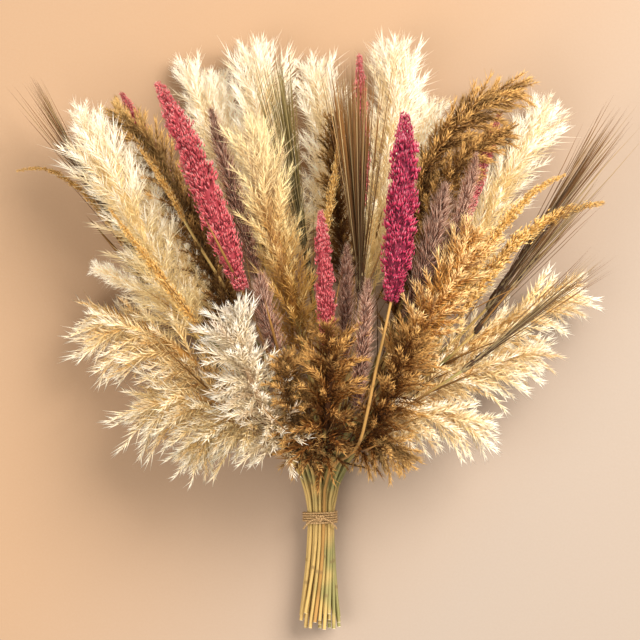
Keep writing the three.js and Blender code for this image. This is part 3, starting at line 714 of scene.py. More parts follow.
class Graph:
    """A node tree that is being built, with short calls for its nodes and links."""

    def __init__(self, tree: bpy.types.NodeTree) -> None:
        """Starts on an empty tree."""
        self.tree = tree

    def add(
        self, kind: str, sockets: dict[Union[str, int], Feed] | None = None, **settings: Any
    ) -> bpy.types.Node:
        """Adds a node.

        Args:
            kind: The node's type.
            sockets: Values or sockets for its inputs, by identifier, name or number.
            settings: The node's own settings.

        Returns:
            The node.
        """
        node = self.tree.nodes.new(kind)
        for setting, value in settings.items():
            setattr(node, setting, value)
        for key, value in (sockets or {}).items():
            self.put(node, key, value)
        return node

    def put(self, node: bpy.types.Node, key: Union[str, int], value: Feed) -> None:
        """Sets or links one input of a node.

        Args:
            node: The node.
            key: The input's identifier, name or number.
            value: A value, or a socket or node to link from.
        """
        if isinstance(key, str):
            found = [s for s in node.inputs if s.identifier == key]
            found += [s for s in node.inputs if s.name == key]
            socket = found[0]
        else:
            socket = node.inputs[key]
        if isinstance(value, bpy.types.Node):
            value = value.outputs[0]
        if isinstance(value, bpy.types.NodeSocket):
            self.tree.links.new(value, socket)
        else:
            socket.default_value = value

    def math(self, operation: str, *values: Feed, clamp: bool = False) -> bpy.types.NodeSocket:
        """The result of a sum on one, two or three numbers."""
        node = self.add("ShaderNodeMath", dict(enumerate(values)), operation=operation, use_clamp=clamp)
        return node.outputs[0]

    def vector(self, operation: str, *values: Feed) -> bpy.types.NodeSocket:
        """The result of a sum on vectors.

        Args:
            operation: The sum.
            values: Values or sockets for its inputs.

        Returns:
            The result.
        """
        node = self.add("ShaderNodeVectorMath", operation=operation)
        for key, value in enumerate(values):
            self.put(node, "Scale" if operation == "SCALE" and key == 1 else key, value)
        return node.outputs[0]

    def mix(self, share: Feed, one: Feed, other: Feed) -> bpy.types.NodeSocket:
        """A colour between two."""
        sockets = {"Factor_Float": share, "A_Color": one, "B_Color": other}
        return self.add("ShaderNodeMix", sockets, data_type="RGBA").outputs[2]

    def blend(self, share: Feed, one: Feed, other: Feed) -> bpy.types.NodeSocket:
        """A number between two."""
        return self.math("MULTIPLY_ADD", self.math("SUBTRACT", other, one), share, one)

    def between(
        self, value: Feed, low: float, high: float, to_low: float = 0.0, to_high: float = 1.0
    ) -> bpy.types.NodeSocket:
        """A number that rises smoothly from one value to another as the given one passes a range."""
        sockets = {"Value": value, "From Min": low, "From Max": high, "To Min": to_low, "To Max": to_high}
        return self.add("ShaderNodeMapRange", sockets, interpolation_type="SMOOTHSTEP").outputs[0]

    def noise(self, place: Feed, scale: float, detail: float) -> bpy.types.NodeSocket:
        """Soft noise from 0 to 1 over a place."""
        return self.add("ShaderNodeTexNoise", {"Vector": place, "Scale": scale, "Detail": detail}).outputs[0]

    def joined(self, *parts: Feed) -> bpy.types.Node:
        """Several geometries as one.

        Args:
            parts: The geometries.

        Returns:
            The node that joins them.
        """
        node = self.add("GeometryNodeJoinGeometry")
        for part in parts:
            self.put(node, "Geometry", part)
        return node

    def lifted(self, geometry: Feed, lowest: Feed) -> bpy.types.Node:
        """A geometry whose points that lie lower than some height are lifted to it.

        Args:
            geometry: The geometry.
            lowest: The height.

        Returns:
            The node that lifts them.
        """
        axes = self.add("ShaderNodeSeparateXYZ", {"Vector": self.add("GeometryNodeInputPosition")}).outputs
        height = self.math("MAXIMUM", axes["Z"], lowest)
        place = self.add("ShaderNodeCombineXYZ", {"X": axes["X"], "Y": axes["Y"], "Z": height})
        return self.add("GeometryNodeSetPosition", {"Geometry": geometry, "Position": place})

    def surface(
        self, colour: Feed, roughness: Feed, height: Feed, strength: float, distance: float
    ) -> bpy.types.Node:
        """Ends a material in a surface with a bump.

        Args:
            colour: The surface's colour.
            roughness: Its roughness.
            height: The bump's height from 0 to 1.
            strength: The bump's strength.
            distance: How high the bump stands, in metres.

        Returns:
            The surface's shader.
        """
        bump = self.add("ShaderNodeBump", {"Strength": strength, "Distance": distance, "Height": height})
        sockets = {"Base Color": colour, "Normal": bump, "Roughness": roughness}
        shader = self.add("ShaderNodeBsdfPrincipled", sockets)
        self.add("ShaderNodeOutputMaterial", {"Surface": shader})
        return shader


def new_group(
    name: str, kind: str, inputs: dict[str, tuple[str, Any]], outputs: dict[str, str]
) -> tuple[Graph, bpy.types.Node, bpy.types.Node]:
    """Starts a node group with named inputs and outputs.

    Args:
        name: The group's name.
        kind: ShaderNodeTree or GeometryNodeTree.
        inputs: Each input's socket type and value, by name.
        outputs: Each output's socket type, by name.

    Returns:
        The graph, the node of the inputs and the node of the outputs.
    """
    tree = bpy.data.node_groups.new(name, kind)
    for label, (socket_type, value) in inputs.items():
        socket = tree.interface.new_socket(label, in_out="INPUT", socket_type="NodeSocket" + socket_type)
        if value is not None:
            socket.default_value = value
    for label, socket_type in outputs.items():
        tree.interface.new_socket(label, in_out="OUTPUT", socket_type="NodeSocket" + socket_type)
    graph = Graph(tree)
    return graph, graph.add("NodeGroupInput"), graph.add("NodeGroupOutput")


def new_material(name: str) -> tuple[bpy.types.Material, Graph]:
    """Starts a material on an empty tree.

    Args:
        name: The material's name.

    Returns:
        The material and its graph.
    """
    material = bpy.data.materials.new(name)
    material.use_nodes = True
    material.node_tree.nodes.clear()
    return material, Graph(material.node_tree)


def apply_tree(piece: bpy.types.Object, tree: bpy.types.NodeTree, values: dict[str, Any]) -> None:
    """Runs a geometry tree on an object and leaves its result as the object's plain mesh.

    Args:
        piece: The object, which is in the scene afterwards.
        tree: The geometry tree.
        values: Values for the tree's inputs, by name.
    """
    if piece.name not in bpy.context.scene.collection.objects:
        bpy.context.scene.collection.objects.link(piece)
    modifier = piece.modifiers.new("growth", "NODES")
    modifier.node_group = tree
    names = {item.name: item.identifier for item in tree.interface.items_tree if item.in_out == "INPUT"}
    for label, value in values.items():
        modifier[names[label]] = value
    graph = bpy.context.evaluated_depsgraph_get()
    mesh = bpy.data.meshes.new_from_object(
        piece.evaluated_get(graph), preserve_all_data_layers=True, depsgraph=graph
    )
    mesh.name = piece.name
    piece.modifiers.remove(modifier)
    piece.data = mesh


@dataclass(frozen=True)
class Branching:
    """How sprouts stand along a line.

    start is the share of the line where they begin. lean is their angle to the line at the first and the
    last, in degrees, and the spreads are how far each way chance takes the lean, the turn and the size.
    Thickness follows length to the power of fullness, from full_size, at which a sprout is as thick as it
    was made.
    """

    count: int
    lean: tuple[float, float]
    lean_spread: float = 5.0
    turn_spread: float = 20.0
    size_spread: float = 0.15
    start: float = 0.0
    full_size: float = 1.0
    fullness: float = 0.6


class SproutTree:
    """The geometry tree that grows a stem along a line and sprouts out of it.

    The line's points carry reach, the sprouts' length there, and stem, the stem's radius. The result carries
    where along the line each part grew and a number by chance for each sprout, under the given names.
    """

    GROUND = 0.0004
    LUMP_SCALE = 110.0
    LUMP_HEIGHT = 1.6
    AIM_SHARES = (0.1, 1.3)
    CHANCE_STEP = 101
    PICK_SEED = 505

    def __init__(self) -> None:
        """Builds the tree."""
        inputs = {
            "Line": ("Geometry", None),
            "Sprouts": ("Collection", None),
            "Kinds": ("Int", 1),
            "Count": ("Int", 10),
            "Start": ("Float", 0.0),
            "Turn": ("Float", GOLDEN_ANGLE),
            "Turn Spread": ("Float", 0.0),
            "Lean Foot": ("Float", 0.5),
            "Lean Tip": ("Float", 0.2),
            "Lean Spread": ("Float", 0.0),
            "Size Spread": ("Float", 0.0),
            "Full Size": ("Float", 1.0),
            "Fullness": ("Float", 0.6),
            "Pull": ("Vector", (0.0, 0.0, 0.0)),
            "Aim": ("Float", 0.0),
            "Droop": ("Float", 0.0),
            "Lowest": ("Float", -10.0),
            "Stem Sides": ("Int", 3),
            "Share Name": ("String", "out"),
            "Chance Name": ("String", "speck"),
            "Seed": ("Int", 0),
            "Finish": ("Material", None),
        }
        outputs = {"Grown": "Geometry"}
        graph, self.given, end = new_group("sprouting_line", "GeometryNodeTree", inputs, outputs)
        self.graph = graph
        line = self.marked_line()
        grown = graph.joined(self.stem(line), self.sprouts(line))
        settled = graph.lifted(grown, self.given.outputs["Lowest"])
        for name in ("span", "reach", "stem"):
            settled = graph.add("GeometryNodeRemoveAttribute", {"Geometry": settled, "Name": name})
        smooth = graph.add("GeometryNodeSetShadeSmooth", {"Geometry": settled})
        real = graph.add("GeometryNodeRealizeInstances", {0: smooth})
        dressed = graph.add("GeometryNodeSetMaterial", {0: real, "Material": self.given.outputs["Finish"]})
        graph.put(end, 0, dressed)
        self.tree = graph.tree

    def named(self, name: str) -> bpy.types.NodeSocket:
        """A number that the line's points or the parts carry."""
        return self.graph.add("GeometryNodeInputNamedAttribute", {"Name": name}, data_type="FLOAT").outputs[0]

    def store(self, geometry: Feed, name: Feed, value: Feed) -> bpy.types.Node:
        """Stores a number under a name at each point."""
        sockets = {"Geometry": geometry, "Name": name, "Value": value}
        return self.graph.add("GeometryNodeStoreNamedAttribute", sockets, data_type="FLOAT", domain="POINT")

    def chance(self, low: Feed, high: Feed, number: int) -> bpy.types.NodeSocket:
        """A number by chance for each sprout, another for each number given here.

        Args:
            low: The least.
            high: The most.
            number: Which of the tree's chances it is.

        Returns:
            The number.
        """
        seed = self.graph.math("ADD", self.given.outputs["Seed"], number * self.CHANCE_STEP)
        sockets = {"Min_001": low, "Max_001": high, "Seed": seed}
        return self.graph.add("FunctionNodeRandomValue", sockets, data_type="FLOAT").outputs[1]

    def either_way(self, name: str, number: int) -> bpy.types.NodeSocket:
        """A number by chance up to a named input each way."""
        most = self.given.outputs[name]
        return self.chance(self.graph.math("MULTIPLY", most, -1.0), most, number)

    def marked_line(self) -> bpy.types.Node:
        """The line as a curve whose points know their share of its length.

        Returns:
            The curve's node.
        """
        curve = self.graph.add("GeometryNodeMeshToCurve", {0: self.given.outputs["Line"]})
        share = self.graph.add("GeometryNodeSplineParameter").outputs["Factor"]
        return self.store(curve, self.given.outputs["Share Name"], share)

    def stem(self, line: bpy.types.Node) -> bpy.types.NodeSocket:
        """The stem's closed tube, lumpy inside a head, with the attribute around from 0 to 1 round it.

        Args:
            line: The marked line.

        Returns:
            The tube.
        """
        graph = self.graph
        sides = self.given.outputs["Stem Sides"]
        ring = graph.add("GeometryNodeCurvePrimitiveCircle", {"Resolution": sides, "Radius": 1.0})
        around = graph.add("GeometryNodeSplineParameter").outputs["Factor"]
        marked = self.store(ring, "around", around)
        sockets = {"Curve": line, "Profile Curve": marked, "Scale": self.named("stem"), "Fill Caps": True}
        tube = graph.add("GeometryNodeCurveToMesh", sockets)
        lumps = graph.add("ShaderNodeTexNoise", {"Scale": self.LUMP_SCALE, "Detail": 2.0}).outputs[0]
        in_head = graph.math("SUBTRACT", 1.0, self.named("stalk"))
        height = graph.math("MULTIPLY", in_head, self.LUMP_HEIGHT)
        uneven = graph.math("MULTIPLY", graph.math("SUBTRACT", lumps, 0.5), height)
        swelling = graph.math("MULTIPLY", uneven, self.named("stem"))
        offset = graph.vector("SCALE", graph.add("GeometryNodeInputNormal"), swelling)
        return graph.add("GeometryNodeSetPosition", {"Geometry": tube, "Offset": offset}).outputs[0]

    def sprouts(self, line: bpy.types.Node) -> bpy.types.NodeSocket:
        """The sprouts, set on the line by the golden angle and made real.

        Args:
            line: The marked line.

        Returns:
            The sprouts.
        """
        graph, given = self.graph, self.given.outputs
        trimmed = graph.add("GeometryNodeTrimCurve", {"Curve": line, "Start": given["Start"]}, mode="FACTOR")
        places = graph.add("GeometryNodeCurveToPoints", {0: trimmed, "Count": given["Count"]}, mode="COUNT")
        index = graph.add("GeometryNodeInputIndex").outputs[0]
        last = graph.math("MAXIMUM", graph.math("SUBTRACT", given["Count"], 1), 1)
        share = graph.math("DIVIDE", index, last)
        sockets = {"Value": share, "To Min": given["Lean Foot"], "To Max": given["Lean Tip"]}
        lean = graph.add("ShaderNodeMapRange", sockets).outputs[0]
        lean = graph.math("ADD", lean, self.either_way("Lean Spread", 1))
        turn = graph.math("MULTIPLY_ADD", index, given["Turn"], self.either_way("Turn Spread", 2))
        angles = graph.add("ShaderNodeCombineXYZ", {"Y": lean, "Z": turn})
        own = graph.add("FunctionNodeEulerToRotation", {0: angles})
        sockets = {"Rotation": places.outputs["Rotation"], "Rotate By": own}
        placed = graph.add("FunctionNodeRotateRotation", sockets, rotation_space="LOCAL")
        ahead = graph.add("FunctionNodeRotateVector", {"Vector": (0.0, 0.0, 1.0), "Rotation": placed})
        aim = graph.math("MULTIPLY", given["Aim"], self.chance(*self.AIM_SHARES, 5))
        pulled = graph.vector("ADD", ahead, graph.vector("SCALE", given["Pull"], aim))
        sockets = {"Rotation": placed, "Vector": pulled}
        aimed = graph.add("FunctionNodeAlignRotationToVector", sockets, axis="Z")
        spread = graph.math("ADD", self.either_way("Size Spread", 3), 1.0)
        size = graph.math("MULTIPLY", self.named("reach"), spread)
        full = graph.math("DIVIDE", size, given["Full Size"])
        width = graph.math("MULTIPLY", graph.math("POWER", full, given["Fullness"]), given["Full Size"])
        scale = graph.add("ShaderNodeCombineXYZ", {"X": width, "Y": width, "Z": size})
        marked = self.store(places, given["Chance Name"], self.chance(0.0, 1.0, 4))
        marked = self.store(self.store(marked, "span", size), "stalk", 0.0)
        sockets = {"Collection": given["Sprouts"], "Separate Children": True, "Reset Children": True}
        kit = graph.add("GeometryNodeCollectionInfo", sockets)
        pick = graph.add("FunctionNodeRandomValue", data_type="INT")
        graph.put(pick, "Max_002", graph.math("SUBTRACT", given["Kinds"], 1))
        graph.put(pick, "Seed", graph.math("ADD", given["Seed"], self.PICK_SEED))
        sockets = {
            "Points": marked,
            "Instance": kit,
            "Pick Instance": True,
            "Instance Index": pick.outputs[2],
            "Rotation": aimed,
            "Scale": scale,
        }
        placed = graph.add("GeometryNodeInstanceOnPoints", sockets)
        real = graph.add("GeometryNodeRealizeInstances", {0: placed})
        out = self.named("out")
        fall = graph.math("MULTIPLY", graph.math("MULTIPLY", out, out), self.named("span"))
        offset = graph.vector("SCALE", given["Pull"], graph.math("MULTIPLY", fall, given["Droop"]))
        return graph.add("GeometryNodeSetPosition", {"Geometry": real, "Offset": offset}).outputs[0]

    def grow(
        self,
        piece: bpy.types.Object,
        sprouts: bpy.types.Collection,
        branching: Branching,
        seed: int,
        **others: Any,
    ) -> None:
        """Grows a piece out of its own line.

        Args:
            piece: The object whose mesh is the line.
            sprouts: What grows out of it.
            branching: How the sprouts stand.
            seed: What its chances start from.
            others: Further inputs, by their names with underscores for spaces.
        """
        values = {
            "Sprouts": sprouts,
            "Kinds": len(sprouts.objects),
            "Count": branching.count,
            "Start": branching.start,
            "Turn Spread": math.radians(branching.turn_spread),
            "Lean Foot": math.radians(branching.lean[0]),
            "Lean Tip": math.radians(branching.lean[1]),
            "Lean Spread": math.radians(branching.lean_spread),
            "Size Spread": branching.size_spread,
            "Full Size": branching.full_size,
            "Fullness": branching.fullness,
            "Seed": seed,
        }
        values.update({label.replace("_", " "): value for label, value in others.items()})
        apply_tree(piece, self.tree, values)


# Sprays


@dataclass(frozen=True)
class SprayShape:
    """A spray of unit length: its outward bow, its sprouts' reach from foot to tip and its stem's radii."""

    bow: float
    reach: tuple[float, ...]
    stem: tuple[float, float]
    steps: int = 6


class SprayKit:
    """Makes the hairs, spikelets, florets and grains, and the sprays that they stand on."""

    VARIANTS = 4

    def __init__(self, tree: SproutTree) -> None:
        self.tree = tree
        self.made: list[bpy.types.Collection] = []

    def collect(self, name: str, objects: Sequence[bpy.types.Object]) -> bpy.types.Collection:
        """Puts objects into a collection outside the scene.

        Args:
            name: The collection's name.
            objects: The objects.

        Returns:
            The collection.
        """
        kit = bpy.data.collections.new(name)
        for piece in objects:
            kit.objects.link(piece)
        self.made.append(kit)
        return kit

    def sprays(
        self, name: str, sprouts: bpy.types.Collection, shape: SprayShape, branching: Branching
    ) -> bpy.types.Collection:
        """Grows some sprays of one shape, each another by chance.

        Args:
            name: What they are called.
            sprouts: What stands along them.
            shape: Their shape.
            branching: How the sprouts stand.

        Returns:
            The sprays.
        """
        made = []
        for variant in range(self.VARIANTS):
            sway = (variant - (self.VARIANTS - 1) / 2) / self.VARIANTS
            share = np.linspace(0, 1, shape.steps + 1)
            bow = shape.bow * (1 + 0.5 * sway)
            points = np.stack([bow * share**2, 0.25 * shape.bow * sway * share**2, share], axis=1)
            reach = np.interp(share, np.linspace(0, 1, len(shape.reach)), shape.reach)
            stem = np.interp(share, (0, 1), shape.stem)
            mesh = line_mesh(name, [points], reach=reach, stem=stem)
            piece = bpy.data.objects.new(f"{name}_{variant}", mesh)
            self.tree.grow(piece, sprouts, branching, 11 + variant)
            bpy.context.scene.collection.objects.unlink(piece)
            made.append(piece)
        return self.collect(name, made)

    def tapers(
        self, name: str, sizes: Sequence[tuple[float, float]], root: float = 0.0
    ) -> bpy.types.Collection:
        """Makes plain tapered hairs or spikelets.

        Args:
            name: What they are called.
            sizes: Each one's length and the radius of its root.
            root: Where they start along the way out.

        Returns:
            The tapered forms.
        """
        shapes = [Spindle(((root, radius), (length, 0))) for length, radius in sizes]
        return self.collect(name + "s", [shape.piece(f"{name}_{i}") for i, shape in enumerate(shapes)])

    def discard(self) -> None:
        for kit in self.made:
            for piece in list(kit.objects):
                bpy.data.objects.remove(piece)
            bpy.data.collections.remove(kit)

    def clumps(
        self, name: str, floret: Spindle, count: int, size: float, depth: float, tilt: float
    ) -> bpy.types.Collection:
        """Makes small groups of florets that lie on a head's surface, one unit from its middle.

        Args:
            name: What they are called.
            floret: The floret's shape.
            count: How many florets a group has.
            size: The floret's length.
            depth: How far inside the outline the innermost floret starts.
            tilt: How steeply the florets, which point up the head, stand off its surface, in degrees.

        Returns:
            The groups.
        """
        made = []
        for variant in range(self.VARIANTS):
            chance = np.random.default_rng(31 + variant)
            places = []
            for order in range(count):
                steep = math.radians(tilt * chance.uniform(0.5, 1.5))
                way = Vector((-math.cos(steep), chance.uniform(-0.35, 0.35), math.sin(steep)))
                turn = Vector((0, 0, 1)).rotation_difference(way).to_matrix().to_4x4()
                across = size * 0.75 * chance.uniform(-1, 1)
                along = size * 0.8 * chance.uniform(-1, 1)
                out = 1 - size * math.sin(steep) - depth * order / max(1, count - 1)
                large = size * chance.uniform(0.8, 1.2)
                places.append(Matrix.Translation((along, across, out)) @ turn @ Matrix.Scale(large, 4))
            made.append(floret.piece(f"{name}_{variant}", places, variant))
        return self.collect(name, made)

    def pampas_sprays(self) -> bpy.types.Collection:
        """Long soft sprays of silky hairs.

        Returns:
            The sprays.
        """
        hairs = self.tapers("silky_hair", ((0.75, 0.039), (1.0, 0.028), (1.35, 0.017)))
        shape = SprayShape(0.13, (0.26, 0.34, 0.34, 0.3, 0.24), (0.006, 0.0015), 3)
        return self.sprays("silky_spray", hairs, shape, Branching(40, (40, 20), 14, 40, 0.45, 0.2, 0.24))

    def reed_sprays(self) -> bpy.types.Collection:
        """Strands of slim pointed spikelets that stand like the needles of a fir branch.

        Returns:
            The sprays.
        """
        spikelets = self.tapers("reed_spikelet", ((0.8, 0.088), (1.0, 0.07), (1.25, 0.045)))
        shape = SprayShape(0.2, (0.22, 0.27, 0.28, 0.26, 0.22), (0.011, 0.004), 3)
        return self.sprays("reed_spray", spikelets, shape, Branching(42, (46, 20), 14, 35, 0.4, 0.1, 0.22))

    def bristles(self) -> bpy.types.Collection:
        """Fine bristles that stand out of a foxtail's core."""
        return self.tapers("foxtail_bristle", ((0.8, 0.026), (1.0, 0.019), (1.2, 0.012)), 0.3)

    def millet_clumps(self) -> bpy.types.Collection:
        """Groups of small pointed florets that overlap like scales."""
        floret = Spindle(((0, 0.17), (1, 0)))
        return self.clumps("millet_floret_group", floret, 9, 0.33, 0.24, 36)

    def spike_clumps(self) -> bpy.types.Collection:
        """Groups of slim florets that make a spike knobbly and soft."""
        floret = Spindle(((0, 0.15), (1, 0)))
        return self.clumps("spike_floret_group", floret, 9, 0.62, 0.5, 34)

    def leaf_blades(self) -> bpy.types.Collection:
        """Long narrow leaf blades.

        Returns:
            The blades.
        """
        profile = ((0, 0.005), (0.15, 0.015), (0.6, 0.013), (1, 0))
        bows = [0.06 * (variant - 1.2) for variant in range(self.VARIANTS)]
        made = [Spindle(profile, 4, 0.18, bow).piece(f"leaf_blade_{i}") for i, bow in enumerate(bows)]
        return self.collect("leaf_blades", made)

    def awned_grains(self) -> bpy.types.Collection:
        """Barley grains, each with its long awn.

        Returns:
            The grains.
        """
        profile = ((0, 0), (0.03, 0.016), (0.07, 0.013), (0.09, 0.0021), (0.75, 0.002), (1, 0))
        bows = [0.03 * (variant - 1.5) for variant in range(self.VARIANTS)]
        made = [Spindle(profile, bow=bow).piece(f"awned_grain_{i}") for i, bow in enumerate(bows)]
        return self.collect("awned_grains", made)


# Heads


@dataclass(frozen=True)
class Growth:
    """How the heads of one kind are grown.

    density is the sprouts on a millimetre of a head of the given full girth, and crowding how much faster
    smaller heads need them. lean is the sprouts' angle at the foot and the tip, and the spreads are how far
    each way chance takes it, their size and their turn round the rachis. full_size is the length at which a
    sprout is as thick as it was made, core the core's share of the girth and reach how far the sprouts go, in
    girths. aim and droop are how much a hanging plume's sprays turn and bend to the way that they hang.
    rachis is how much of the head its rachis runs through, taper what share of the way to the head's tip the
    sprays reach at most, and past how far they may pass that in millimetres. skirt is how much of the head's
    length they start below its foot, where they are at least foot_fill of their full length.
    """

    density: float
    full_girth: float
    lean: tuple[float, float]
    lean_spread: float
    size_spread: float
    full_size: float
    core: float
    reach: float
    crowding: float = 0.4
    aim: float = 0.85
    droop: float = 0.3
    rachis: float = 1.0
    taper: float = 1.0
    past: float = 1000.0
    skirt: float = 0.0
    foot_fill: float = 0.0
    turn_spread: float = 20.0


GROWTHS = {
    Kind.PAMPAS: Growth(
        0.54, 38, (34, 14), 9, 0.25, 62, 0.24, 1.75,
        rachis=0.88, taper=0.72, past=5, skirt=0.12, foot_fill=0.8,
    ),
    Kind.REED: Growth(
        0.645, 30, (40, 18), 12, 0.3, 42, 0.13, 1.5, 0.28,
        rachis=0.9, taper=0.95, past=-2, skirt=0.2, foot_fill=0.9,
    ),
    Kind.FOXTAIL: Growth(14, 13, (38, 26), 16, 0.4, 20, 0.45, 1.8, 0.2, turn_spread=120),
    Kind.MILLET: Growth(2.5, 16, (88, 62), 9, 0.36, 16, 0.74, 1.0, 0.2, turn_spread=24),
    Kind.BARLEY: Growth(0.46, 6, (5.2, 1.7), 1.9, 0.16, 200, 0.22, 1.0),
    Kind.SPIKE: Growth(1.0, 6, (88, 60), 10, 0.4, 6, 0.42, 1.35, 0.2, turn_spread=60),
}


@dataclass
class HeadMaker:
    """Grows the stalks and their heads along the eased lines, in millimetres.

    cut_radius and foot_radius are a stalk's at its cut end and its head's foot, and neck is the share of the
    head over which it turns into the core, which is least_core thick or more. The low joint stands between
    two lengths from the cut end, and the high one past a length from it and short of the foot by another.
    joint_profile is where a joint gets rings, and joint_swell and joint_width how thick and how long it is.
    awn_share is how far the awns pass an ear's tip on average, against the longest. Leaf blades begin past
    blade_start, and one is at most blade_steepest times as long as its root lies under blade_ceiling.
    """

    layout: StalkLayout
    tree: SproutTree
    finishes: dict[Tone, bpy.types.Material]
    seed: int = 7
    stem_steps: int = 13
    head_steps: int = 26
    stalk_sides: int = 8
    foot_radius: float = 1.55
    cut_radius: float = 2.0
    joint_swell: float = 1.28
    blade_start: float = 60.0
    blade_length: tuple[float, float] = (60.0, 130.0)
    blade_ceiling: float = 235.0
    blade_steepest: float = 1.2
    blade_vein: float = 0.5
    blades_each: int = 5
    blade_least: float = 10.0
    low_joint: tuple[float, float] = (25.0, 80.0)
    high_joint: tuple[float, float] = (165.0, 20.0)
    joint_profile: tuple[float, ...] = (-3.0, -0.8, 0.8, 3.0)
    joint_width: float = 1.6
    least_core: float = 0.7
    neck: float = 0.12
    awn_share: float = 0.92

    def line_of(self, stalk: Stalk, rings: np.ndarray, number: int) -> StalkLine:
        """Works out one stalk's line and what stands along it.

        Args:
            stalk: The stalk.
            rings: Its rings' centres.
            number: Its place in the table.

        Returns:
            The points in metres and, by name, the numbers at them; head_share is where the head begins.
        """
        steps = 12
        dense = smooth_line(rings, steps)
        lengths = line_lengths(dense)
        growth = GROWTHS[stalk.kind]
        foot, end = lengths[self.layout.HEAD_FIRST * steps], lengths[-1]
        last = foot + (end - foot) * growth.rachis
        chance = np.random.default_rng(self.seed + number)
        from_foot, below_foot = self.high_joint
        joints = [
            chance.uniform(*self.low_joint),
            chance.uniform(from_foot, max(from_foot + 5, foot - below_foot)),
        ]
        along = [np.linspace(0, foot, self.stem_steps + 1), np.linspace(foot, last, self.head_steps + 1)[1:]]
        along += [joint + np.array(self.joint_profile) for joint in joints if joint < foot - 8]
        along = np.unique(np.concatenate(along))
        points = places_along(dense, lengths, along)
        head = np.clip((along - foot) / (end - foot), 0, 1)
        swell = np.interp(head, self.layout.head_shares, HABITS[stalk.kind].swell)
        swell = np.maximum(swell, np.interp(head, (0.3, 0.5), (growth.foot_fill, 0)))
        stem = np.interp(along, (0, foot), (self.cut_radius, self.foot_radius))
        joint = sum(np.exp(-(((along - place) / self.joint_width) ** 2)) for place in joints)
        stem *= 1 + (self.joint_swell - 1) * joint
        core = np.maximum(stalk.girth * growth.core * swell, self.least_core)
        core *= np.interp(head / growth.rachis, (0, 0.85, 1), (1, 0.8, 0.2))
        blend = np.clip(head / self.neck, 0, 1)
        outwards = stalk.girth * swell * growth.reach * stalk.fluff
        reach = np.minimum(outwards, (end - along) * growth.taper * stalk.blunt + growth.past)
        skirt = (end - foot) * growth.skirt
        if stalk.awn:
            reach = self.awn_share * stalk.awn + (1 - head) * (end - foot)
        return {
            "points": points * MM,
            "stem": (stem * (1 - blend) + core * blend) * MM,
            "reach": reach * MM,
            "stalk": 1 - blend,
            "joint": joint,
            "bleach": stalk.bleach + stalk.faded * head**2,
            "head_share": (foot - skirt) / last,
            "head_length": end - foot + skirt,
        }

    def grow(
        self, name: str, stalk: Stalk, line: StalkLine, sprouts: bpy.types.Collection, number: int
    ) -> bpy.types.Object:
        """Grows one stalk with its head.

        Args:
            name: The piece's name.
            stalk: The stalk.
            line: Its line, as line_of gives it.
            sprouts: What grows from its rachis.
            number: Its place in the table.

        Returns:
            The finished piece.
        """
        growth = GROWTHS[stalk.kind]
        crowding = max(1.0, (growth.full_girth / stalk.girth) ** growth.crowding)
        opening = stalk.fluff if stalk.awn else 1.0
        branching = Branching(
            round(growth.density * line["head_length"] * crowding * opening**2),
            (growth.lean[0] * opening**0.5, growth.lean[1] * opening**0.5),
            growth.lean_spread,
            growth.turn_spread,
            growth.size_spread,
            start=line["head_share"],
            full_size=growth.full_size * MM,
        )
        values = {key: line[key] for key in ("stem", "reach", "stalk", "joint", "bleach")}
        piece = bpy.data.objects.new(name, line_mesh(name, [line["points"]], **values))
        self.tree.grow(
            piece,
            sprouts,
            branching,
            self.seed + number,
            Pull=stalk.hang,
            Aim=growth.aim,
            Droop=growth.droop,
            Lowest=self.tree.GROUND,
            Stem_Sides=self.stalk_sides,
            Share_Name="rise",
            Chance_Name="tint",
            Finish=self.finishes[stalk.tone],
        )
        return piece

    def build_all(self, kit: SprayKit) -> list[bpy.types.Object]:
        """Grows every stalk and head, and says which node each stands for.

        Args:
            kit: What makes the sprays.

        Returns:
            The pieces.
        """
        sprouts = {
            Kind.PAMPAS: kit.pampas_sprays(),
            Kind.REED: kit.reed_sprays(),
            Kind.FOXTAIL: kit.bristles(),
            Kind.MILLET: kit.millet_clumps(),
            Kind.BARLEY: kit.awned_grains(),
            Kind.SPIKE: kit.spike_clumps(),
        }
        bare = kit.collect("no_sprouts", [])
        pieces, counts, stems = [], {}, []
        for number, (stalk, rings) in enumerate(zip(self.layout.stalks, self.layout.eased_rings())):
            counts[stalk.kind] = counts.get(stalk.kind, 0) + 1
            node = f"{stalk.kind.value}_{counts[stalk.kind]}"
            line = self.line_of(stalk, rings, number)
            stems.append(self.straw_line(line)["points"])
            if stalk.kind is Kind.MILLET:
                straw = f"millet_stalk_{counts[stalk.kind]}"
                pieces.append(self.part(straw, Tone.STRAW_STALK, line, stalk, bare, number, stem_only=True))
                pieces.append(self.part(node, stalk.tone, line, stalk, sprouts[stalk.kind], number))
            else:
                pieces.append(self.part(node, stalk.tone, line, stalk, sprouts[stalk.kind], number))
        pieces.append(self.leaf_blades(stems, kit.leaf_blades()))
        return pieces

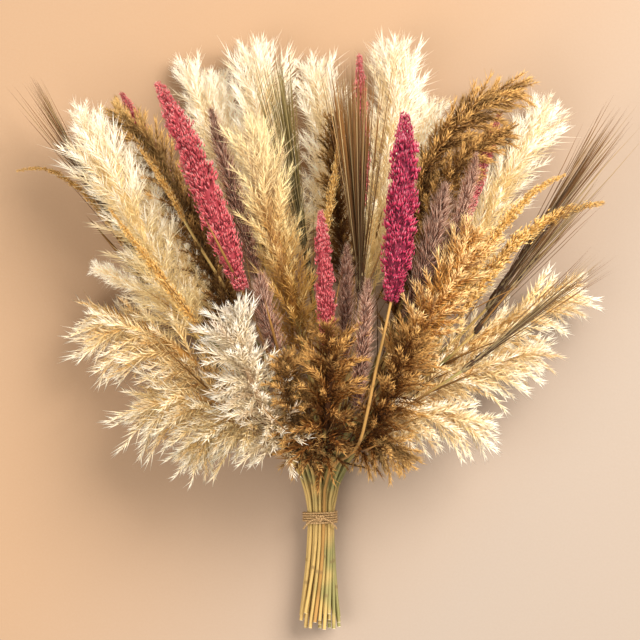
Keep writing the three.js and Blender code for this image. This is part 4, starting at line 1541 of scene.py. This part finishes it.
    def leaf_blades(self, stems: Sequence[np.ndarray], blades: bpy.types.Collection) -> bpy.types.Object:
        """Grows narrow dried leaf blades on the stalks above the tie.

        Args:
            stems: The stalks' points below their heads.
            blades: The blades' forms.

        Returns:
            The finished piece.
        """
        lines, reach = [], []
        chance = np.random.default_rng(self.seed)
        least = self.blade_least * MM
        for stem in stems:
            above = stem[stem[:, 1] > self.blade_start * MM]
            if len(above) < 3:
                continue
            lines.append(above)
            room = (self.blade_ceiling * MM - above[:, 2]) * self.blade_steepest
            length = chance.uniform(*self.blade_length, len(above)) * MM
            reach += np.clip(length, least, room.clip(least * 1.2)).tolist()
        mesh = line_mesh("leaf_blades", lines, reach=reach, stem=self.blade_vein * MM)
        piece = bpy.data.objects.new("dried_leaf_blades", mesh)
        branching = Branching(self.blades_each, (14, 14), 7, 60, 0.25, full_size=self.blade_length[1] * MM)
        finish = self.finishes[Tone.STRAW_STALK]
        names = {"Share_Name": "rise", "Chance_Name": "tint", "Pull": (0.0, 0.0, -0.4), "Aim": 1.0}
        self.tree.grow(piece, blades, branching, self.seed, Lowest=self.tree.GROUND, Finish=finish, **names)
        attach(piece, "root")
        LOG.info("%s: %d faces", piece.name, len(piece.data.polygons))
        return piece

    def part(
        self,
        node: str,
        tone: Tone,
        line: StalkLine,
        stalk: Stalk,
        sprouts: bpy.types.Collection,
        number: int,
        stem_only: bool = False,
    ) -> bpy.types.Object:
        """Makes one piece and ties it to its node.

        Args:
            node: The node that it stands for.
            tone: Its finish.
            line: The stalk's line.
            stalk: The stalk.
            sprouts: What grows from its rachis.
            number: The stalk's place in the table.
            stem_only: Whether it is a straw stalk alone; a millet head is then the rest.

        Returns:
            The piece.
        """
        if stalk.kind is Kind.MILLET:
            line = self.straw_line(line) if stem_only else self.dyed_line(line)
        dressed = replace(stalk, tone=tone)
        piece = self.grow(f"grown_{node}", dressed, line, sprouts, number)
        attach(piece, "root")
        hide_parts(node)
        LOG.info("%s: %d faces", piece.name, len(piece.data.polygons))
        return piece

    def straw_line(self, line: StalkLine) -> StalkLine:
        """The part of a line below its head.

        Args:
            line: The stalk's line, as line_of gives it.

        Returns:
            That part.
        """
        kept = line["stalk"] >= 1
        cut = {key: value[kept] if isinstance(value, np.ndarray) else value for key, value in line.items()}
        return {**cut, "head_length": 0.0, "head_share": 0.0}

    def dyed_line(self, line: StalkLine) -> StalkLine:
        """The part of a line from its head's foot on.

        Args:
            line: The stalk's line, as line_of gives it.

        Returns:
            That part.
        """
        first = int(np.argmax(line["stalk"] < 1)) - 1
        cut = {key: value[first:] if isinstance(value, np.ndarray) else value for key, value in line.items()}
        return {**cut, "stalk": np.zeros(len(cut["points"])), "head_share": 0.0}


# Finishes


def linear(code: str) -> tuple[float, float, float, float]:
    """A colour code as the numbers that shaders work with."""
    parts = [int(code[i : i + 2], 16) / 255 for i in (1, 3, 5)]
    return (*(part / 12.92 if part <= 0.04045 else ((part + 0.055) / 1.055) ** 2.4 for part in parts), 1.0)


class ShadeGroups:
    """The effects that several finishes share, each built once."""

    GREY = (0.5, 0.5, 0.5, 1.0)
    OUTPUTS = {"Color": "Color", "Height": "Float", "Roughness": "Float"}
    PATCH_SCALE = 28.0
    FIBRE_SCALE = 700.0
    GREEN_SCALE = 14.0
    STREAK_SCALE = 5.0
    STREAK_STRETCH = 3.0
    CUT_SHARE = 0.0004

    def __init__(self) -> None:
        """Builds the groups."""
        self.fibre = self.build_fibre()
        self.straw = self.build_straw()

    @staticmethod
    def attribute(graph: Graph, name: str) -> bpy.types.NodeSocket:
        """A number that the mesh carries."""
        return graph.add("ShaderNodeAttribute", attribute_name=name, attribute_type="GEOMETRY").outputs["Fac"]

    def build_fibre(self) -> bpy.types.NodeTree:
        """Dried fibres: deep inside a head they have the root's colour, which is partly their own and partly
        painted shade, and at its outside the tip's.

        Returns:
            The group.
        """
        inputs = {label: ("Color", self.GREY) for label in ("Root", "Body", "Tip", "Aged", "Bleached")}
        inputs |= {
            "Aged Share": ("Float", 0.2),
            "Spray Share": ("Float", 0.6),
            "Patchiness": ("Float", 0.15),
            "Top Lift": ("Float", 0.2),
            "Grain": ("Float", 0.7),
            "Roughness": ("Float", 0.8),
        }
        graph, given, end = new_group("dried_fibre", "ShaderNodeTree", inputs, self.OUTPUTS)
        out, tip, tint, speck = (self.attribute(graph, name) for name in ("out", "tip", "tint", "speck"))
        spray_part = graph.math("MULTIPLY", out, given.outputs["Spray Share"])
        hair_share = graph.math("SUBTRACT", 1.0, given.outputs["Spray Share"])
        depth = graph.math("MULTIPLY_ADD", tip, hair_share, spray_part)
        place = graph.add("ShaderNodeTexCoord").outputs["Object"]
        patches = graph.noise(place, self.PATCH_SCALE, 3.0)
        drift = graph.math("MULTIPLY", graph.math("SUBTRACT", patches, 0.5), given.outputs["Patchiness"])
        depth = graph.math("ADD", depth, graph.math("MULTIPLY", drift, 2.0))
        top = graph.math("SUBTRACT", graph.between(self.attribute(graph, "rise"), 0.5, 1.0), 0.5)
        depth = graph.math("MULTIPLY_ADD", top, given.outputs["Top Lift"], depth)
        # Deep inside the head the colour runs to the root's: partly the fibres' own darker roots, partly
        # painted shade among them.
        inner = graph.mix(graph.between(depth, 0.0, 0.42), given.outputs["Root"], given.outputs["Body"])
        colour = graph.mix(graph.between(depth, 0.4, 0.95), inner, given.outputs["Tip"])
        old = graph.math("LESS_THAN", tint, given.outputs["Aged Share"])
        old = graph.math("MULTIPLY", old, graph.math("MULTIPLY_ADD", speck, 0.5, 0.3))
        colour = graph.mix(old, colour, given.outputs["Aged"])
        fine = graph.noise(place, self.FIBRE_SCALE, 3.0)
        grained = graph.math("MULTIPLY", graph.math("SUBTRACT", fine, 0.5), given.outputs["Grain"])
        uneven = graph.math("MULTIPLY", graph.math("SUBTRACT", speck, 0.5), given.outputs["Grain"])
        lightness = graph.math("MULTIPLY_ADD", uneven, 0.43, graph.math("ADD", grained, 1.0))
        lightness = graph.math("MULTIPLY", lightness, graph.math("MULTIPLY_ADD", tint, 0.2, 0.9))
        # The bleach attribute is partly the head's own paleness and partly painted light, lightening shaded
        # heads towards the bleached colour and darkening lit ones below 0.
        bleach = self.attribute(graph, "bleach")
        darker = graph.math("ADD", graph.math("MINIMUM", bleach, 0.0), 1.0)
        varied = graph.vector("SCALE", colour, graph.math("MULTIPLY", lightness, darker))
        share = graph.math("MAXIMUM", bleach, 0.0)
        pale = graph.vector("SCALE", given.outputs["Bleached"], graph.between(depth, 0.0, 0.8, 0.3, 1.0))
        graph.put(end, "Color", graph.mix(share, varied, pale))
        graph.put(end, "Height", fine)
        coarse = graph.math("MULTIPLY_ADD", fine, 0.3, graph.math("MULTIPLY_ADD", speck, 0.1, 0.8))
        graph.put(end, "Roughness", graph.math("MULTIPLY", coarse, given.outputs["Roughness"], clamp=True))
        return graph.tree

    def build_straw(self) -> bpy.types.NodeTree:
        """A dried stalk: streaks along it, darker rings at its joints and pale pith at its cut end.

        Returns:
            The group.
        """
        inputs = {label: ("Color", self.GREY) for label in ("Straw", "Green", "Joint", "Pith")}
        graph, given, end = new_group("dried_straw", "ShaderNodeTree", inputs, self.OUTPUTS)
        around, rise, joint = (self.attribute(graph, name) for name in ("around", "rise", "joint"))
        angle = graph.math("MULTIPLY", around, 2 * math.pi)
        sides = {"X": graph.math("COSINE", angle), "Y": graph.math("SINE", angle)}
        along = graph.math("MULTIPLY", rise, self.STREAK_STRETCH)
        lengthwise = graph.add("ShaderNodeCombineXYZ", {**sides, "Z": along})
        streaks = graph.noise(lengthwise, self.STREAK_SCALE, 4.0)
        place = graph.add("ShaderNodeTexCoord").outputs["Object"]
        broad = graph.noise(place, self.GREEN_SCALE, 2.0)
        colour = graph.mix(graph.between(broad, 0.45, 0.62), given.outputs["Straw"], given.outputs["Green"])
        dark = graph.vector("SCALE", colour, 0.55)
        colour = graph.mix(graph.between(streaks, 0.5, 0.7), colour, dark)
        colour = graph.mix(graph.math("MULTIPLY", joint, 0.8, clamp=True), colour, given.outputs["Joint"])
        cut = graph.math("LESS_THAN", rise, self.CUT_SHARE)
        graph.put(end, "Color", graph.mix(cut, colour, given.outputs["Pith"]))
        graph.put(end, "Height", streaks)
        graph.put(end, "Roughness", graph.math("MULTIPLY_ADD", streaks, 0.5, 0.3))
        return graph.tree


@dataclass(frozen=True)
class PlumeFinish:
    """A head's colours from deep inside to its tips, and the stalk's that it grew on.

    aged is the colour of aged_share of its sprays, taken by chance: an aged tone on most heads, and on the
    barley a pale straw that also stands for painted highlights on its awns. bleached is the colour that a pale
    head goes to. spray_share is how much of the colour's run from root to tip lies along a spray, the rest
    being along each hair.
    hair to hair. glow is the share of light that thin pale hairs let through from behind. straw, green, joint
    and pith are the stalk's own, and the bump's size is in metres.
    """

    tone: Tone
    root: str
    body: str
    tip: str
    aged: str
    aged_share: float = 0.2
    spray_share: float = 0.6
    patchiness: float = 0.15
    bleached: str = "#fbf0da"
    top_lift: float = 0.2
    roughness: float = 0.8
    grain: float = 0.7
    sheen: float = 0.04
    glow: float = 0.0
    straw: str = "#b8985a"
    green: str = "#857d4a"
    joint: str = "#6e5433"
    pith: str = "#ead9b0"
    specular: float = 0.18
    bump_strength: float = 0.35
    bump: float = 0.0006

    def material(self, groups: ShadeGroups) -> bpy.types.Material:
        """Builds the material.

        Args:
            groups: The shared effects.

        Returns:
            The material.
        """
        material, graph = new_material(self.tone.value + "_finish")
        fibre = graph.add("ShaderNodeGroup", node_tree=groups.fibre)
        for label in ("Root", "Body", "Tip", "Aged", "Bleached"):
            graph.put(fibre, label, linear(getattr(self, label.lower())))
        for label in ("Aged Share", "Spray Share", "Patchiness", "Top Lift", "Grain", "Roughness"):
            graph.put(fibre, label, getattr(self, label.lower().replace(" ", "_")))
        straw = graph.add("ShaderNodeGroup", node_tree=groups.straw)
        for label in ("Straw", "Green", "Joint", "Pith"):
            graph.put(straw, label, linear(getattr(self, label.lower())))
        on_stalk = graph.between(ShadeGroups.attribute(graph, "stalk"), 0.1, 0.9)
        colour = graph.mix(on_stalk, fibre.outputs["Color"], straw.outputs["Color"])
        height = graph.blend(on_stalk, fibre.outputs["Height"], straw.outputs["Height"])
        rough = graph.blend(on_stalk, fibre.outputs["Roughness"], straw.outputs["Roughness"])
        shader = graph.surface(colour, rough, height, self.bump_strength, self.bump)
        graph.put(shader, "Sheen Weight", self.sheen)
        graph.put(shader, "Specular IOR Level", self.specular)
        # Painted light: the surface gives off its own colour at the glow strength, lifting the shade among the
        # hairs.
        if self.glow:
            graph.put(shader, "Emission Color", colour)
            graph.put(shader, "Emission Strength", self.glow)
        return material


FINISHES = [
    PlumeFinish(
        Tone.CREAM_PAMPAS, "#d6ae6a", "#e8cb8e", "#fcf2db", "#e0c083",
        0.2, 0.8, top_lift=0.5, grain=0.25, sheen=0.08, glow=0.2,
    ),
    PlumeFinish(
        Tone.GOLDEN_PAMPAS, "#86571f", "#c89748", "#f0d798", "#925e20",
        0.25, 0.75, top_lift=0.7, grain=0.3, glow=0.1,
    ),
    PlumeFinish(
        Tone.BROWN_REED, "#2c1402", "#70400f", "#cf9d58", "#462405",
        0.3, bleached="#f0c880", top_lift=0.25, sheen=0.0,
    ),
    PlumeFinish(
        Tone.CREAM_REED, "#b57f3c", "#f0d092", "#fdf3dc", "#d0a055",
        0.2, bleached="#cfc9c0", glow=0.09,
    ),
    PlumeFinish(Tone.GOLD_REED, "#7a4a17", "#c58a3c", "#f2ce90", "#8f5719", 0.25),
    PlumeFinish(
        Tone.PLUM_FOXTAIL, "#3c1f12", "#8f5a42", "#e8bfa4", "#663d2a",
        0.3, 0.0, grain=0.4, sheen=0.05,
    ),
    PlumeFinish(Tone.CORAL_MILLET, "#7a2028", "#d65e62", "#ffcdc2", "#bb4149", 0.25, 0.3, roughness=0.6),
    PlumeFinish(Tone.MAGENTA_MILLET, "#5c0f2a", "#b82b4c", "#f6a0ae", "#961f3a", 0.25, 0.3, roughness=0.6),
    # The barley's aged colour is a pale straw that some awns take by chance; it stands partly for painted
    # highlights on the awns.
    PlumeFinish(
        Tone.DARK_BARLEY, "#3f2711", "#583813", "#7d5222", "#ffe0a0",
        0.33, 0.0, bleached="#6c6634", grain=0.1, roughness=0.5,
    ),
    PlumeFinish(Tone.GOLD_SPIKE, "#a8742c", "#dcaa5a", "#f9dc9e", "#b98a45", 0.25, 0.3, roughness=0.7),
    PlumeFinish(
        Tone.STRAW_STALK, "#4f3213", "#8f6530", "#c39d5c", "#6b4519",
        0.35, 0.5, straw="#a67c41", green="#886530",
    ),
]


@dataclass(frozen=True)
class PlainFinish:
    """A plain procedural finish: two colours in soft patches, with a bump.

    scale is how many patches there are on a metre, and bump how high they stand, in metres.
    """

    name: str
    colour: str
    other: str
    scale: float
    bump: float
    roughness: float = 0.9

    def material(self) -> bpy.types.Material:
        """Builds the material.

        Returns:
            The material.
        """
        material, graph = new_material(self.name)
        place = graph.add("ShaderNodeTexCoord").outputs["Object"]
        noise = graph.noise(place, self.scale, 4.0)
        colour = graph.mix(graph.between(noise, 0.3, 0.7), linear(self.colour), linear(self.other))
        rough = graph.between(noise, 0.3, 0.7, self.roughness - 0.12, self.roughness + 0.06)
        graph.surface(colour, rough, noise, 0.3, self.bump)
        return material


# Twine tie


@dataclass
class TwineTie:
    """The twine round the stalks: its turns, a knot on top of them and two loose ends.

    strand is the twine's radius, lay_length the length in which its plies go round once, step the length of
    its faces and fibre_lean how far its loose fibres lean each way, in radians. bedded is how far the turns
    lie inside their solid's outside, ply_depth how deep the plies part, against the radius, and knot_size the
    scale of the knot's trefoil across the tie, along it and up. tail_route is a loose end's: degrees over
    the tie's shoulder, way along the tie and height over the turns.
    """

    size: TieSize
    finish: bpy.types.Material
    turns: float = 4.6
    width: float = 12.4
    strand: float = 1.36
    lay_length: float = 9.0
    step: float = 1.5
    fibre_lean: float = 1.1
    bedded: float = 0.15
    plies: int = 3
    ply_depth: float = 0.16
    knot_size: Place = (1.5, 1.25, 0.9)
    tail_route: tuple[Place, ...] = ((3, 0, 0), (14, -1.5, 1.3), (26, -3, 1), (40, -7, 1.4), (58, -12.5, 1))

    def helix(self) -> np.ndarray:
        """The turns' line, which starts and ends under the knot.

        Returns:
            The line's points, in millimetres.
        """
        axis = self.size.axis_height()
        radius = axis - self.strand - self.bedded
        angle = np.linspace(-0.3 * math.pi, 2 * math.pi * self.turns - 0.3 * math.pi, int(self.turns * 100))
        y = np.linspace(-self.width / 2, self.width / 2, len(angle))
        return np.stack([radius * np.sin(angle), y, axis + radius * np.cos(angle)], axis=1)

    def knot(self) -> np.ndarray:
        """The knot's line, a closed trefoil flattened on the turns.

        Returns:
            The line's points, in millimetres.
        """
        across, along, half_height = self.knot_size
        middle = self.size.axis_height() * 2 + half_height
        angle = np.linspace(0, 2 * math.pi, 91)
        x = across * (np.sin(angle) + 2 * np.sin(2 * angle))
        y = along * (np.cos(angle) - 2 * np.cos(2 * angle))
        return np.stack([x, y, middle - half_height * np.sin(3 * angle)], axis=1)

    def tail(self, hand: int) -> np.ndarray:
        """One loose end's line, over the tie's shoulder on the side of the given hand.

        Args:
            hand: 1 for the right side and -1 for the left.

        Returns:
            The line's points, in millimetres.
        """
        places = []
        for degrees, y, height in self.tail_route:
            angle = math.radians(degrees * hand)
            radius = self.size.outer() + height
            places.append((radius * math.sin(angle), y, self.size.axis_height() + radius * math.cos(angle)))
        return smooth_line(np.array(places), 10)

    def build(self) -> bpy.types.Object:
        """Builds the tie as one mesh.

        Returns:
            The finished piece.
        """
        lines = []
        for line in (self.helix(), self.knot(), self.tail(1), self.tail(-1)):
            lengths = line_lengths(line)
            along = np.linspace(0, lengths[-1], max(12, int(lengths[-1] / self.step)))
            lines.append(places_along(line, lengths, along) * MM)
        piece = bpy.data.objects.new("laid_twine_tie", line_mesh("laid_twine_tie", lines))
        values = {"Strand": self.strand * MM, "Lay Length": self.lay_length * MM, "Finish": self.finish}
        apply_tree(piece, self.twine_tree(), values)
        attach(piece, "root")
        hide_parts("twine_tie")
        LOG.info("%s: %d faces", piece.name, len(piece.data.polygons))
        return piece

    def twine_tree(self) -> bpy.types.NodeTree:
        """The tree that lays three-ply twine along lines and raises loose fibres from it.

        Returns:
            The tree.
        """
        inputs = {
            "Lines": ("Geometry", None),
            "Strand": ("Float", 0.0013),
            "Lay Length": ("Float", 0.009),
            "Fibres": ("Float", 160000.0),
            "Fibre Length": ("Float", 0.0024),
            "Seed": ("Int", 3),
            "Finish": ("Material", None),
        }
        graph, given, end = new_group("laid_twine", "GeometryNodeTree", inputs, {"Laid": "Geometry"})
        given = given.outputs
        curve = graph.add("GeometryNodeMeshToCurve", {0: given["Lines"]})
        length = graph.add("GeometryNodeSplineParameter").outputs["Length"]
        tilt = graph.math("MULTIPLY", graph.math("DIVIDE", length, given["Lay Length"]), 2 * math.pi)
        tilted = graph.add("GeometryNodeSetCurveTilt", {"Curve": curve, "Tilt": tilt})
        ring = graph.add("GeometryNodeCurvePrimitiveCircle", {"Resolution": 4 * self.plies, "Radius": 1.0})
        around = graph.add("GeometryNodeSplineParameter").outputs["Factor"]
        lobe = graph.math("COSINE", graph.math("MULTIPLY", around, 2 * self.plies * math.pi))
        share = graph.math("MULTIPLY_ADD", lobe, self.ply_depth, 1 - self.ply_depth)
        radius = graph.math("MULTIPLY", share, given["Strand"])
        lobed = graph.vector("SCALE", graph.add("GeometryNodeInputPosition"), radius)
        lobes = graph.add("GeometryNodeSetPosition", {0: ring, "Position": lobed})
        sockets = {"Curve": tilted, "Profile Curve": lobes, "Fill Caps": True}
        rope = graph.add("GeometryNodeCurveToMesh", sockets)
        sockets = {"Mesh": rope, "Density": given["Fibres"], "Seed": given["Seed"]}
        roots = graph.add("GeometryNodeDistributePointsOnFaces", sockets)
        sockets = {"Vertices": 3, "Radius Top": 0.0, "Radius Bottom": 0.035, "Depth": 1.0}
        hair = graph.add("GeometryNodeMeshCone", sockets, fill_type="NGON")
        most = (self.fibre_lean,) * 3
        sockets = {"Min": graph.vector("SCALE", most, -1.0), "Max": most, "Seed": given["Seed"]}
        lean = graph.add("FunctionNodeRandomValue", sockets, data_type="FLOAT_VECTOR")
        turned = graph.add("FunctionNodeEulerToRotation", {0: lean.outputs[0]})
        sockets = {"Rotation": roots.outputs["Rotation"], "Rotate By": turned}
        turned = graph.add("FunctionNodeRotateRotation", sockets, rotation_space="LOCAL")
        sockets = {"Points": roots, "Instance": hair, "Rotation": turned, "Scale": given["Fibre Length"]}
        raised = graph.add("GeometryNodeInstanceOnPoints", sockets)
        fuzz = graph.add("GeometryNodeRealizeInstances", {0: raised})
        settled = graph.lifted(graph.joined(rope, fuzz), 0.0)
        smooth = graph.add("GeometryNodeSetShadeSmooth", {"Geometry": settled})
        real = graph.add("GeometryNodeRealizeInstances", {0: smooth})
        graph.put(end, 0, graph.add("GeometryNodeSetMaterial", {0: real, "Material": given["Finish"]}))
        return graph.tree


# Studio


@dataclass
class Studio:
    """The pale floor, the soft light and the camera straight above the bundle, in metres.

    The camera hangs distance over view_height, where it takes in view_width round view_centre.
    """

    view_width: float = 0.704
    view_centre: tuple[float, float] = (0.0, 0.222)
    view_height: float = 0.12
    distance: float = 4.0
    sensor: float = 36.0
    floor_half: float = 4.0
    daylight: Place = (1.0, 0.975, 0.94)
    room_colour: tuple[float, ...] = (1.0, 0.96, 0.91, 1.0)
    room_light: float = 0.75

    def camera(self) -> None:
        """Sets the camera straight above, at the photograph's framing."""
        data = bpy.data.cameras.new("camera_above")
        data.sensor_width = self.sensor
        data.lens = self.sensor * self.distance / self.view_width
        data.clip_end = 20.0
        camera = bpy.data.objects.new("camera_above", data)
        camera.location = (*self.view_centre, self.view_height + self.distance)
        bpy.context.scene.collection.objects.link(camera)
        bpy.context.scene.camera = camera

    def floor(self) -> None:
        """Lays the pale floor."""
        mesh = bpy.data.meshes.new("pale_floor")
        half = self.floor_half
        corners = [(-half, -half, 0), (half, -half, 0), (half, half, 0), (-half, half, 0)]
        mesh.from_pydata(corners, [], [(0, 1, 2, 3)])
        floor = bpy.data.objects.new("pale_floor", mesh)
        floor.location.z = -0.0002
        bpy.context.scene.collection.objects.link(floor)
        mesh.materials.append(self.floor_finish())

    def floor_finish(self) -> bpy.types.Material:
        """Plain plaster with a painted fall of light: warmer at the upper left and paler at the lower right.

        Returns:
            The material.
        """
        material, graph = new_material("painted_floor")
        place = graph.add("ShaderNodeTexCoord").outputs["Object"]
        axes = graph.add("ShaderNodeSeparateXYZ", {"Vector": place}).outputs
        # The run from the upper left to the lower right is painted light: paler where more light falls.
        across = graph.math("SUBTRACT", axes["X"], graph.math("MULTIPLY", axes["Y"], 0.7))
        blotches = graph.noise(place, 4.0, 3.0)
        share = graph.math("ADD", graph.between(across, -0.4, 0.35), graph.math("MULTIPLY", blotches, 0.12))
        colour = graph.mix(share, linear("#9f7f60"), linear("#99897a"))
        grain = graph.noise(place, 400.0, 2.0)
        rough = graph.between(grain, 0.3, 0.7, 0.82, 0.96)
        graph.surface(colour, rough, grain, 0.15, 0.0003)
        return material

    def light(self, name: str, place: Place, size: float, power: float) -> None:
        """Hangs one soft light over the bundle.

        Args:
            name: The light's name.
            place: Where it hangs, in metres.
            size: Its width.
            power: Its power in watts.
        """
        data = bpy.data.lights.new(name, "AREA")
        data.size, data.energy, data.color = size, power, self.daylight
        lamp = bpy.data.objects.new(name, data)
        lamp.location = place
        aim = Vector((*self.view_centre, self.view_height)) - Vector(place)
        lamp.rotation_euler = aim.to_track_quat("-Z", "Y").to_euler()
        bpy.context.scene.collection.objects.link(lamp)

    def build(self) -> None:
        """Builds the studio."""
        self.camera()
        self.floor()
        self.light("key_light", (1.5, 1.4, 2.4), 1.8, 176.0)
        self.light("fill_light", (-1.6, -0.6, 2.6), 2.0, 69.0)
        world = bpy.data.worlds.new("pale_room")
        world.use_nodes = True
        world.node_tree.nodes["Background"].inputs[0].default_value = self.room_colour
        world.node_tree.nodes["Background"].inputs[1].default_value = self.room_light
        bpy.context.scene.world = world
        bpy.context.scene.view_settings.view_transform = "Standard"


def main() -> None:
    """Builds the studio and the bundle."""
    logging.basicConfig(level=logging.INFO, format="%(message)s")
    Studio().build()
    groups = ShadeGroups()
    finishes = {finish.tone: finish.material(groups) for finish in FINISHES}
    twine = PlainFinish("jute_twine_finish", "#8f6c3f", "#c9a473", 900.0, 0.0002).material()
    tree = SproutTree()
    kit = SprayKit(tree)
    layout = StalkLayout(STALKS)
    maker = HeadMaker(layout, tree, finishes)
    pieces = maker.build_all(kit)
    kit.discard()
    pieces.append(TwineTie(layout.tie, twine).build())
    LOG.info("%d pieces", len(pieces))


if __name__ == "__main__":
    main()
